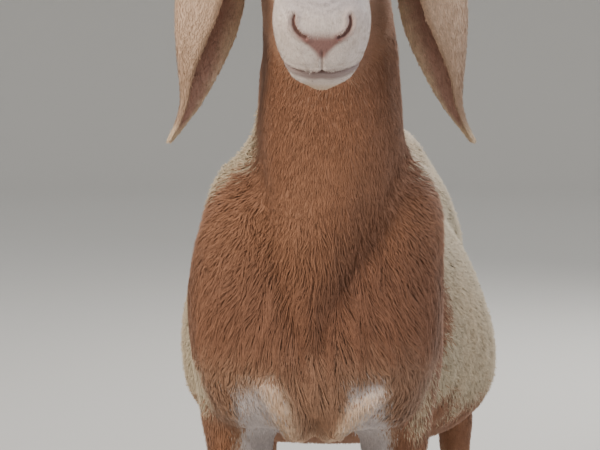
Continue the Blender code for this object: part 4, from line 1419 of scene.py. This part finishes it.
@dataclass
class Ears:
    """The two long, folded, hanging ears."""

    sheep: Sheep
    rows: int = 72
    columns: int = 22
    half_thickness: float = 0.0015
    hair_length: float = 0.0058

    def __post_init__(self) -> None:
        """Works out the ears' own colours and the places on their grid."""
        self.outer = linear("#d6bca6")
        self.outer_low = linear("#b89d88")
        self.inner = linear("#bd998a")
        self.edge = linear("#dcc7ad")
        self.at = np.repeat(np.linspace(0, 1, self.rows), self.columns)
        self.across = np.tile(np.abs(np.linspace(-1, 1, self.columns)), self.rows)

    def sheet(self, side: float) -> np.ndarray:
        """The middle surface of an ear as a grid of points in the row frame.

        Args:
            side: 1 for the left side, -1 for the right one.

        Returns:
            The grid, as (row, column, axis).
        """
        at = np.linspace(0.0, 1.0, self.rows)
        fold_x, fold_z, edge_x, edge_z, front, room = catmull(EAR_STATIONS, at).T[:, :, None]
        turn = np.linspace(-1.0, 1.0, self.columns)[None, :] * math.pi / 2
        reach = np.where(turn < 0, front, 1.0) * (1 - np.cos(turn))
        ripple = 0.0016 * np.sin(at * 17 + 0.6)[:, None] * np.sin(turn) ** 2
        x = fold_x + (edge_x - fold_x) * reach
        z = fold_z + (edge_z - fold_z) * reach
        y = EAR_Y - EAR_SWING * (EAR_STATIONS[0][1] - fold_z) / 0.26 + room * np.sin(turn) + ripple
        grid = np.stack((side * x, y, z), axis=2).reshape(-1, 3)
        return self.sheep.from_ear(grid).reshape(self.rows, self.columns, 3)

    def build(self, side: float, word: str) -> bpy.types.Object:
        """Makes one ear as a thin closed shell.

        Args:
            side: 1 for the left ear, -1 for the right one.
            word: The side in words.

        Returns:
            The ear.
        """
        middle = self.sheet(side)
        down, over = np.gradient(middle, axis=0), np.gradient(middle, axis=1)
        inwards = unit(np.cross(down, over)) * -side
        at, across = (grid.reshape(self.rows, self.columns) for grid in (self.at, self.across))
        thick = self.half_thickness * (1 - 0.55 * at) * (1 - 0.55 * across**4)
        offset = inwards * thick[:, :, None]
        points = np.concatenate(((middle + offset).reshape(-1, 3), (middle - offset).reshape(-1, 3)))
        rows, columns = self.rows, self.columns
        shift = rows * columns
        faces = []
        for r in range(rows - 1):
            for c in range(columns - 1):
                a = r * columns + c
                quad = (a, a + 1, a + columns + 1, a + columns)
                faces += [quad, tuple(index + shift for index in reversed(quad))]
        border = [(r * columns, (r + 1) * columns) for r in range(rows - 1)]
        border += [((r + 1) * columns - 1, (r + 2) * columns - 1) for r in range(rows - 1)]
        border += [(c, c + 1) for c in range(columns - 1)]
        border += [(shift - columns + c, shift - columns + c + 1) for c in range(columns - 1)]
        faces += [(a, b, b + shift, a + shift) for a, b in border]
        ear = shell(f"ear_flap_{word}", points, faces)
        paint(ear.data, self.tones(points), np.zeros(len(points)))
        return ear

    def tones(self, points: np.ndarray) -> np.ndarray:
        """The colours of the ear's two faces, first the inner one's points and then the outer's.

        Args:
            points: The points of both faces.

        Returns:
            A colour a point.
        """
        inner_fine, outer_fine = Noise(51, 0.012)(points).reshape(2, -1)
        inner = blend(self.inner, self.edge, smooth((self.across - 0.80 + 0.05 * inner_fine) / 0.25))
        # Painted shade: the inner face is darker in its middle, deep in the fold
        inner = blend(inner, self.inner * 0.75, 0.5 * smooth((0.5 - self.across) / 0.5))
        outer = blend(self.outer, self.outer_low, smooth((self.at - 0.45 + 0.06 * outer_fine) / 0.3))
        tip = smooth((self.at - 0.88) / 0.08)
        return np.concatenate((blend(inner, self.edge, tip), blend(outer, self.edge, tip)))

    def grow(self, ear: bpy.types.Object, side: float, word: str) -> bpy.types.Object:
        """Grows the ear's short hair and the fringe along its edges.

        Args:
            ear: The ear.
            side: The side it is on.
            word: The side in words.

        Returns:
            The piece.
        """
        fur = Fur(ear.data)
        shift = self.rows * self.columns
        grid = fur.points[:shift].reshape(self.rows, self.columns, 3)
        down = unit(np.gradient(grid, axis=0)).reshape(-1, 3)
        at, across = np.tile(self.at, 2), np.tile(self.across, 2)
        outside = np.arange(2 * shift) >= shift
        density = np.where(outside, 420000.0, 230000.0) + 200000 * smooth((across - 0.8) / 0.2)
        density *= smooth((at - 0.02) / 0.05)
        place, root, normal = fur.plant(density, 401 if side > 0 else 402)
        rng = np.random.default_rng(403 if side > 0 else 404)
        flow = fur.at(np.concatenate((down, down)), place)
        flow = unit(flow - normal * (flow * normal).sum(axis=1)[:, None])
        flow = unit(flow + 0.12 * rng.normal(size=flow.shape) + 0.10 * normal)
        taper = 1 - 0.35 * fur.at(at, place)
        reach = (self.hair_length * taper * rng.uniform(0.7, 1.3, len(root)))[:, None]
        lines = np.stack(
            (
                root - normal * 0.0006,
                root + flow * 0.5 * reach + normal * 0.0005,
                root + flow * reach + normal * 0.0004,
            ),
            axis=1,
        )
        half = 0.00038 * rng.uniform(0.7, 1.3, len(root))
        shade = np.clip(rng.normal(1.0, 0.07, len(root)), 0.6, 1.4)
        colour = fur.at(self.tones(fur.points), place) * shade[:, None]
        over = fur.at(np.tile(np.linspace(0.02, 0.46, self.columns), self.rows * 2), place)
        over += fur.at(outside * 0.5, place)
        flat = np.stack((over, 0.02 + 0.96 * fur.at(at, place)), axis=1)
        # Painted shade at each hair's root and painted light at its tip, through the tone
        tufts = Tufts(lines, normal, half, (0.9, 1.0), colour, (0.88, 1.0, 1.06), flat)
        return tufts.piece(f"ear_hair_{word}")


@dataclass
class Eyes:
    """Eyeballs with their lids' edges and lashes."""

    sheep: Sheep
    rim_points: int = 96
    rim_sides: int = 8
    rim_radius: float = 0.00085

    def ball(self, side: float, word: str) -> bpy.types.Object:
        """Makes an eyeball; its UV map is laid out level from the front, in units of 2 cm.

        Args:
            side: 1 for the left side, -1 for the right one.
            word: The side in words.

        Returns:
            The eyeball.
        """
        centre, axes = self.sheep.eye_axes(side)
        level = unit(axes @ self.sheep.level_back * np.array((1.0, 1.0, 0.0)))
        shape = bmesh.new()
        bmesh.ops.create_uvsphere(shape, u_segments=56, v_segments=40, radius=1.0)
        layer = shape.loops.layers.uv.new("EyeFront")
        for face in shape.faces:
            for loop in face.loops:
                x, y = np.array(loop.vert.co.xy) * HEAD.eye_radius / 0.02
                loop[layer].uv = (x * level[0] + y * level[1], y * level[0] - x * level[1])
        for vertex in shape.verts:
            local = np.array(vertex.co)
            bulge = 0.0010 * float(smooth((local[2] - 0.80) / 0.20))
            vertex.co = Vector(centre + (local * (HEAD.eye_radius - 0.0004 + bulge)) @ axes)
        return finish_shape(shape, f"eyeball_{word}")

    @staticmethod
    def lid_curve(count: int) -> np.ndarray:
        """Points round the lids' edge, as (along, up) from the eye's middle.

        Args:
            count: How many points.

        Returns:
            A row a point.
        """
        angles = np.linspace(0, math.tau, count, endpoint=False)
        ways = np.stack((np.cos(angles), np.sin(angles)), axis=1)
        low, high = np.zeros(count), np.full(count, 0.03)
        for _ in range(24):
            radius = (low + high) / 2
            inside = almond_metric(*(ways * radius[:, None]).T) < 1.0
            low, high = np.where(inside, radius, low), np.where(inside, high, radius)
        return ways * low[:, None]

    def rim(self, side: float, word: str) -> bpy.types.Object:
        """Makes the moist edge of the lids as a thin closed ring.

        Args:
            side: 1 for the left side, -1 for the right one.
            word: The side in words.

        Returns:
            The ring.
        """
        centre, axes = self.sheep.eye_axes(side)
        curve = self.lid_curve(self.rim_points)
        height = np.sqrt(HEAD.lid_edge_radius**2 - (curve**2).sum(axis=1))
        spine = np.column_stack((curve, height))
        out = unit(spine)
        beside = np.cross(unit(np.roll(spine, -1, axis=0) - np.roll(spine, 1, axis=0)), out)
        rows = []
        for angle in np.linspace(0, math.tau, self.rim_sides, endpoint=False):
            ring = out * math.sin(angle) + 1.2 * beside * math.cos(angle)
            rows.append(spine + self.rim_radius * ring)
        points = np.stack(rows, axis=1).reshape(-1, 3) @ axes + centre
        count, steps = len(curve), self.rim_sides
        faces = []
        for k in range(count):
            near, after = k * steps, ((k + 1) % count) * steps
            for step in range(steps):
                over = (step + 1) % steps
                faces.append((near + step, near + over, after + over, after + step))
        return shell(f"lid_edge_{word}", points, faces)

    def lashes(self, side: float, word: str) -> bpy.types.Object:
        """Makes the pale lashes of the upper lid and the few of the lower one.

        Args:
            side: 1 for the left side, -1 for the right one.
            word: The side in words.

        Returns:
            The piece.
        """
        centre, axes = self.sheep.eye_axes(side)
        rng = np.random.default_rng(501 if side > 0 else 502)
        curve = self.lid_curve(180)
        chosen = np.concatenate((curve[curve[:, 1] > 0.002], curve[curve[:, 1] < -0.004][::3]))
        count = len(chosen)
        root = np.column_stack((chosen, np.sqrt(HEAD.lash_radius**2 - (chosen**2).sum(axis=1))))
        out = unit(root)
        away = unit(np.column_stack((chosen * np.array((0.5, 1.0)), np.zeros(count))))
        reach = np.where(chosen[:, 1] > 0, 0.0090, 0.0036) * rng.uniform(0.55, 1.3, count)
        jitter = 0.26 * rng.normal(size=(count, 3))
        first = unit(out + 0.45 * away + jitter)
        second = unit(0.35 * out + 1.0 * away + jitter)
        lines = np.stack(
            (
                root - out * 0.0006,
                root + first * (reach * 0.5)[:, None],
                root + (first * 0.5 + second * 0.5) * reach[:, None],
            ),
            axis=1,
        )
        colour = np.tile(linear("#b9a189"), (count, 1))
        half = np.full(count, 0.00013)
        flat = 0.5 + chosen * 10
        # Painted shade at each lash's root and painted light at its tip, through the tone
        tufts = Tufts(
            lines @ axes + centre, out @ axes, half, (1.0, 0.8), colour, (0.6, 0.9, 1.1), flat
        )
        return tufts.piece(f"lashes_{word}")


def whiskers(sheep: Sheep) -> bpy.types.Object:
    """Makes the few fine, long feelers of the lips and chin.

    Args:
        sheep: The coordinates of the sheep.

    Returns:
        The piece.
    """
    rng = np.random.default_rng(601)
    count = 22
    side = np.where(np.arange(count) % 2 == 0, 1.0, -1.0)
    aside = rng.uniform(0.016, 0.034, count)
    above = rng.uniform(-0.050, -0.012, count)
    along = 0.010 + 0.5 * np.maximum(0, aside - 0.018) + rng.uniform(0, 0.006, count)
    root = np.column_stack((side * (aside - 0.002), along, above))
    out = unit(np.outer(side, (1.0, 0.0, 0.0)) + (0.0, -0.5, -0.35))
    out = unit(out + 0.25 * rng.normal(size=out.shape))
    reach = rng.uniform(0.012, 0.026, count)[:, None]
    drop = np.array((0.0, 0.05, -0.25))
    lines = np.stack([root + out * reach * s + drop * reach * s * s for s in (0, 0.4, 0.75, 1)], axis=1)
    tufts = Tufts(
        sheep.from_head(lines.reshape(-1, 3)).reshape(count, 4, 3),
        np.tile(-sheep.head_axes[1], (count, 1)),
        np.full(count, 0.00010),
        (1.0, 0.8, 0.5),
        np.tile(linear("#a8937f"), (count, 1)),
        (1.0, 1.0, 1.0, 1.0),
        np.column_stack((0.5 + side * aside * 10, 0.5 + above * 5)),
    )
    return tufts.piece("whiskers")


def hooves(frame: dict) -> list:
    """Makes rounded, finer hooves from copies of the solid claws.

    Args:
        frame: The loaded frame.

    Returns:
        The hooves, each with the name of the node that it replaces.
    """
    made = []
    for node in sorted(name for name in frame["nodes"] if name.startswith("claw_")):
        shape = bmesh.new()
        shape.from_mesh(frame["nodes"][node].data)
        bmesh.ops.remove_doubles(shape, verts=shape.verts, dist=1e-5)
        bmesh.ops.dissolve_limit(
            shape, angle_limit=math.radians(8), verts=shape.verts, edges=shape.edges, delimit={"NORMAL"}
        )
        sharp = [e for e in shape.edges if e.is_manifold and e.calc_face_angle(0) > math.radians(40)]
        bmesh.ops.bevel(
            shape,
            geom=sharp,
            offset=0.0011,
            offset_type="OFFSET",
            affect="EDGES",
            segments=2,
            profile=0.5,
            material=-1,
            clamp_overlap=True,
        )
        bmesh.ops.triangulate(shape, faces=shape.faces)
        hoof = finish_shape(shape, node.replace("claw", "hoof"))
        hoof.data.set_sharp_from_angle(angle=math.radians(50))
        made.append((hoof, node))
    return made


class Materials:
    """Builds the finishes out of shader nodes."""

    def __init__(self) -> None:
        """Starts with no material open."""
        self.tree = None

    def start(self, finish: Finish) -> tuple:
        """Opens a new material with a finish's plain values and returns it and its shader.

        Args:
            finish: The finish.

        Returns:
            The material and its shader.
        """
        material = bpy.data.materials.new(finish.name)
        material.use_nodes = True
        self.tree = material.node_tree
        shader = self.tree.nodes["Principled BSDF"]
        shader.inputs["Base Color"].default_value = (*linear(finish.colour), 1)
        shader.inputs["Roughness"].default_value = finish.roughness
        shader.inputs["Specular IOR Level"].default_value = finish.specular
        shader.inputs["Sheen Weight"].default_value = finish.sheen
        return material, shader

    def add(self, kind: str, inputs: dict, stops: tuple = (), **settings) -> bpy.types.Node:
        """Adds one node.

        Args:
            kind: The node's type.
            inputs: Plain values, and output sockets to link, by input.
            stops: The stops of its colour ramp, as (position, hex code).
            settings: Properties of the node.

        Returns:
            The node.
        """
        node = self.tree.nodes.new(kind)
        for name, value in settings.items():
            setattr(node, name, value)
        if stops:
            for _ in stops[2:]:
                node.color_ramp.elements.new(0.5)
            for element, (position, code) in zip(node.color_ramp.elements, stops):
                element.position = position
                element.color = (*linear(code), 1)
        for name, value in inputs.items():
            if isinstance(value, bpy.types.NodeSocket):
                self.tree.links.new(value, node.inputs[name])
            else:
                node.inputs[name].default_value = value
        return node

    def hair(self) -> bpy.types.Material:
        """Sheep's hair: each tuft has its colour in an attribute, mottled a little.

        Returns:
            The material.
        """
        material, shader = self.start(Finish("hair", "#ded6c8", 0.66, 0.10, 0.22))
        colour = self.add("ShaderNodeAttribute", {}, attribute_name="coat_colour")
        place = self.add("ShaderNodeTexCoord", {}).outputs["Object"]
        mottle = self.add("ShaderNodeTexNoise", {"Scale": 260.0, "Detail": 2.0, "Vector": place})
        shade = self.add(
            "ShaderNodeMapRange",
            {"From Min": 0.3, "From Max": 0.7, "To Min": 0.90, "To Max": 1.08, "Value": mottle.outputs[0]},
        )
        inputs = {0: colour.outputs["Color"], "Scale": shade.outputs[0]}
        mixed = self.add("ShaderNodeVectorMath", inputs, operation="SCALE")
        self.tree.links.new(mixed.outputs["Vector"], shader.inputs["Base Color"])
        return material

    def skin(self) -> bpy.types.Material:
        """Skin under the hair and on the nose: fine hair streaks and pebbled bare skin.

        Returns:
            The material.
        """
        material, shader = self.start(Finish("skin", "#ded6c8", 0.60, 0.10, 0.35))
        colour = self.add("ShaderNodeAttribute", {}, attribute_name="coat_colour")
        bare = self.add("ShaderNodeAttribute", {}, attribute_name="bare").outputs["Fac"]
        place = self.add("ShaderNodeTexCoord", {}).outputs["Object"]
        down = self.add("ShaderNodeMapping", {"Scale": (900.0, 900.0, 130.0), "Vector": place})
        inputs = {"Scale": 1.0, "Detail": 3.0, "Vector": down.outputs["Vector"]}
        streaks = self.add("ShaderNodeTexNoise", inputs).outputs["Fac"]
        inputs = {"Scale": 620.0, "Vector": place}
        pebbles = self.add("ShaderNodeTexVoronoi", inputs, feature="SMOOTH_F1").outputs["Distance"]
        shade = self.add(
            "ShaderNodeMapRange",
            {"From Min": 0.3, "From Max": 0.7, "To Min": 0.84, "To Max": 1.04, "Value": streaks},
        )
        clear = self.add(
            "ShaderNodeMapRange",
            {"From Min": 0.0, "From Max": 0.8, "To Min": 0.93, "To Max": 1.04, "Value": pebbles},
        )
        inputs = {0: bare, 2: shade.outputs["Result"], 3: clear.outputs["Result"]}
        pick = self.add("ShaderNodeMix", inputs, data_type="FLOAT")
        inputs = {0: colour.outputs["Color"], "Scale": pick.outputs[0]}
        mixed = self.add("ShaderNodeVectorMath", inputs, operation="SCALE")
        height = self.add("ShaderNodeMix", {0: bare, 2: streaks, 3: pebbles}, data_type="FLOAT")
        inputs = {"Strength": 0.55, "Distance": 0.0007, "Height": height.outputs[0]}
        bump = self.add("ShaderNodeBump", inputs)
        gloss = self.add("ShaderNodeMapRange", {"To Min": 0.68, "To Max": 0.42, "Value": bare})
        self.tree.links.new(mixed.outputs["Vector"], shader.inputs["Base Color"])
        self.tree.links.new(bump.outputs["Normal"], shader.inputs["Normal"])
        self.tree.links.new(gloss.outputs["Result"], shader.inputs["Roughness"])
        return material

    def eye(self) -> bpy.types.Material:
        """A wet eye: amber iris with a level slit pupil, a dark rim and a brownish white.

        Returns:
            The material.
        """
        material, shader = self.start(Finish("eyeball", "#8a5a24", 0.10, 0.0, 0.6))
        shader.inputs["Coat Weight"].default_value = 0.6
        shader.inputs["Coat Roughness"].default_value = 0.03
        flat = self.add("ShaderNodeUVMap", {}, uv_map="EyeFront").outputs["UV"]
        split = self.add("ShaderNodeSeparateXYZ", {0: flat})
        found = {"x": split.outputs["X"], "y": split.outputs["Y"]}
        half_pupil = {"wide": 0.245, "tall": 0.092}
        for name, operation, *terms in (
            ("xx", "MULTIPLY", "x", "x"),
            ("yy", "MULTIPLY", "y", "y"),
            ("square", "ADD", "xx", "yy"),
            ("radius", "SQRT", "square"),
            ("angle", "ARCTAN2", "y", "x"),
            ("spokes", "MULTIPLY", "angle", 9.0),
            ("rings", "MULTIPLY", "radius", 3.0),
            ("wide", "ABSOLUTE", "x"),
            ("wide", "DIVIDE", "wide", half_pupil["wide"]),
            ("wide", "POWER", "wide", 4.0),
            ("tall", "ABSOLUTE", "y"),
            ("tall", "DIVIDE", "tall", half_pupil["tall"]),
            ("tall", "POWER", "tall", 2.0),
            ("outside", "ADD", "wide", "tall"),
        ):
            inputs = {index: found.get(term, term) for index, term in enumerate(terms)}
            found[name] = self.add("ShaderNodeMath", inputs, operation=operation).outputs[0]
        fan = self.add("ShaderNodeCombineXYZ", {0: found["spokes"], 1: found["rings"]})
        inputs = {"Scale": 2.4, "Detail": 3.0, "Vector": fan.outputs["Vector"]}
        streak = self.add("ShaderNodeTexNoise", inputs).outputs["Fac"]
        inputs = {0: streak, 1: 0.05, 2: found["radius"]}
        shifted = self.add("ShaderNodeMath", inputs, operation="MULTIPLY_ADD").outputs[0]
        stops = (
            (0.00, "#5f3a17"),
            (0.14, "#8f6026"),
            (0.28, "#b98a3e"),
            (0.39, "#8a5c26"),
            (0.435, "#1d120b"),
            (0.50, "#2b1b12"),
            (0.60, "#a58f7c"),
        )
        iris = self.add("ShaderNodeValToRGB", {"Fac": shifted}, stops).outputs["Color"]
        inputs = {"From Min": 0.85, "From Max": 1.15, "Value": found["outside"]}
        pupil = self.add("ShaderNodeMapRange", inputs).outputs["Result"]
        inputs = {0: pupil, 6: (0.004, 0.004, 0.008, 1), 7: iris}
        mixed = self.add("ShaderNodeMix", inputs, data_type="RGBA")
        self.tree.links.new(mixed.outputs[2], shader.inputs["Base Color"])
        return material

    def horn(self) -> bpy.types.Material:
        """Hoof horn, dull and worn, with growth rings.

        Returns:
            The material.
        """
        material, shader = self.start(Finish("horn", "#6b5a48", 0.55, 0.0, 0.4))
        place = self.add("ShaderNodeTexCoord", {}).outputs["Object"]
        rings = self.add(
            "ShaderNodeTexWave",
            {"Scale": 70.0, "Distortion": 3.0, "Detail": 2.0, "Detail Scale": 1.5, "Vector": place},
            wave_type="BANDS",
            bands_direction="Z",
        )
        layers = self.add("ShaderNodeMapping", {"Scale": (70.0, 70.0, 330.0), "Vector": place})
        inputs = {"Scale": 1.0, "Detail": 4.0, "Vector": layers.outputs["Vector"]}
        grain = self.add("ShaderNodeTexNoise", inputs).outputs["Fac"]
        inputs = {"Strength": 0.5, "Distance": 0.0009, "Height": rings.outputs["Fac"]}
        bump = self.add("ShaderNodeBump", inputs)
        stops = ((0.30, "#46392e"), (0.72, "#7d6b58"))
        worn = self.add("ShaderNodeValToRGB", {"Fac": grain}, stops).outputs["Color"]
        self.tree.links.new(worn, shader.inputs["Base Color"])
        self.tree.links.new(bump.outputs["Normal"], shader.inputs["Normal"])
        return material


@dataclass
class Studio:
    """Floor, light and camera."""

    sheep: Sheep
    materials: Materials
    floor_radius: float = 9.0
    curve: float = 3.0
    lamps: tuple = (
        ("key", (-2.4, -2.5, 2.6), 1.2, 92.0, "#fff4e6"),
        ("fill", (2.8, -1.6, 1.8), 2.0, 26.0, "#eef2ff"),
        ("rim", (1.6, 2.8, 2.6), 1.4, 70.0, "#ffffff"),
    )

    def build(self) -> None:
        """Sets everything up."""
        floor = self.hall()
        floor.data.materials.append(self.materials.start(FLOOR)[0])
        world = bpy.data.worlds.new("hall")
        world.use_nodes = True
        sky = world.node_tree.nodes["Background"]
        sky.inputs["Color"].default_value = (*linear("#dcdee0"), 1)
        sky.inputs["Strength"].default_value = 0.95
        scene = bpy.context.scene
        scene.world = world
        for name, place, size, power, code in self.lamps:
            data = bpy.data.lights.new(name, "AREA")
            data.size = size
            data.energy = power
            data.color = linear(code)
            lamp = link(name, data)
            lamp.location = place
            aim = Vector((0, -0.1, 0.55)) - Vector(place)
            lamp.rotation_euler = aim.to_track_quat("-Z", "Y").to_euler()
        self.camera()
        scene.view_settings.view_transform = "AgX"
        scene.view_settings.look = "AgX - Medium High Contrast"

    def hall(self) -> bpy.types.Object:
        """Makes a round floor whose rim curves up into a wall, so that no corner shows.

        Returns:
            The floor.
        """
        shape = bmesh.new()
        places = [(0.0, 0.0)]
        for angle in np.linspace(0, math.pi / 2, 15):
            reach = self.floor_radius + self.curve * math.sin(angle)
            places.append((reach, self.curve * (1 - math.cos(angle))))
        places.append((self.floor_radius + self.curve, 2 * self.curve))
        profile = [shape.verts.new((reach, 0.0, height)) for reach, height in places]
        edges = [shape.edges.new(ends) for ends in zip(profile, profile[1:])]
        bmesh.ops.spin(
            shape, geom=profile + edges, axis=(0, 0, 1), angle=math.tau, steps=96, use_merge=True
        )
        bmesh.ops.remove_doubles(shape, verts=shape.verts, dist=1e-4)
        return finish_shape(shape, "floor")

    def camera(self) -> None:
        """Sets the camera where the photograph was taken, two metres from the breast."""
        data = bpy.data.cameras.new("camera")
        data.lens = 108.0
        data.sensor_width = 36.0
        data.clip_start, data.clip_end = 0.05, 60.0
        camera = link("camera", data)
        bpy.context.scene.camera = camera
        turn, pitch, distance, height = math.radians(2.5), math.radians(5.42), 2.0, 0.85
        x, y, _ = self.sheep.origin + np.array((0.0, -0.33, 0.0))
        camera.location = (x + distance * math.sin(turn), y - distance * math.cos(turn), height)
        level = math.cos(pitch)
        aim = Vector((-math.sin(turn) * level, math.cos(turn) * level, -math.sin(pitch)))
        aim.rotate(Matrix.Rotation(math.atan(ASIDE_PIXELS / FOCAL_PIXELS), 3, "Z"))
        camera.rotation_euler = aim.to_track_quat("-Z", "Y").to_euler()


def dress(piece: bpy.types.Object, material: bpy.types.Material) -> None:
    """Gives a piece its finish and ties it to the frame.

    Args:
        piece: The piece.
        material: Its finish.
    """
    piece.data.materials.clear()
    piece.data.materials.append(material)
    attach(piece, "root")


def main() -> None:
    """Builds the whole scene."""
    for thing in list(bpy.data.objects):
        bpy.data.objects.remove(thing)
    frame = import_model()
    sheep = Sheep()
    markings = Markings(sheep)
    materials = Materials()
    hair, skin_finish = materials.hair(), materials.skin()

    skin = Skin(frame, sheep, markings).build()
    dress(skin, skin_finish)
    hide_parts(*Skin.NODES)

    coat = Coat(skin, sheep, markings)
    coat.grow_short()
    coat.grow_wool()
    coat.grow_breast()
    for piece, slot in coat.pieces:
        dress(piece, hair)

    ears, eyes = Ears(sheep), Eyes(sheep)
    eye_finish, lid_finish = materials.eye(), materials.start(LID_EDGE)[0]
    for side, word in SIDES:
        ear = ears.build(side, word)
        dress(ear, skin_finish)
        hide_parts(f"ear_{word}")
        dress(ears.grow(ear, side, word), hair)
        ball = eyes.ball(side, word)
        dress(ball, eye_finish)
        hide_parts(f"eye_{word}")
        dress(eyes.rim(side, word), lid_finish)
        dress(eyes.lashes(side, word), hair)
    dress(whiskers(sheep), hair)
    horn = materials.horn()
    for hoof, node in hooves(frame):
        dress(hoof, horn)
        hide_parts(node)

    Studio(sheep, materials).build()


if __name__ == "__main__":
    main()
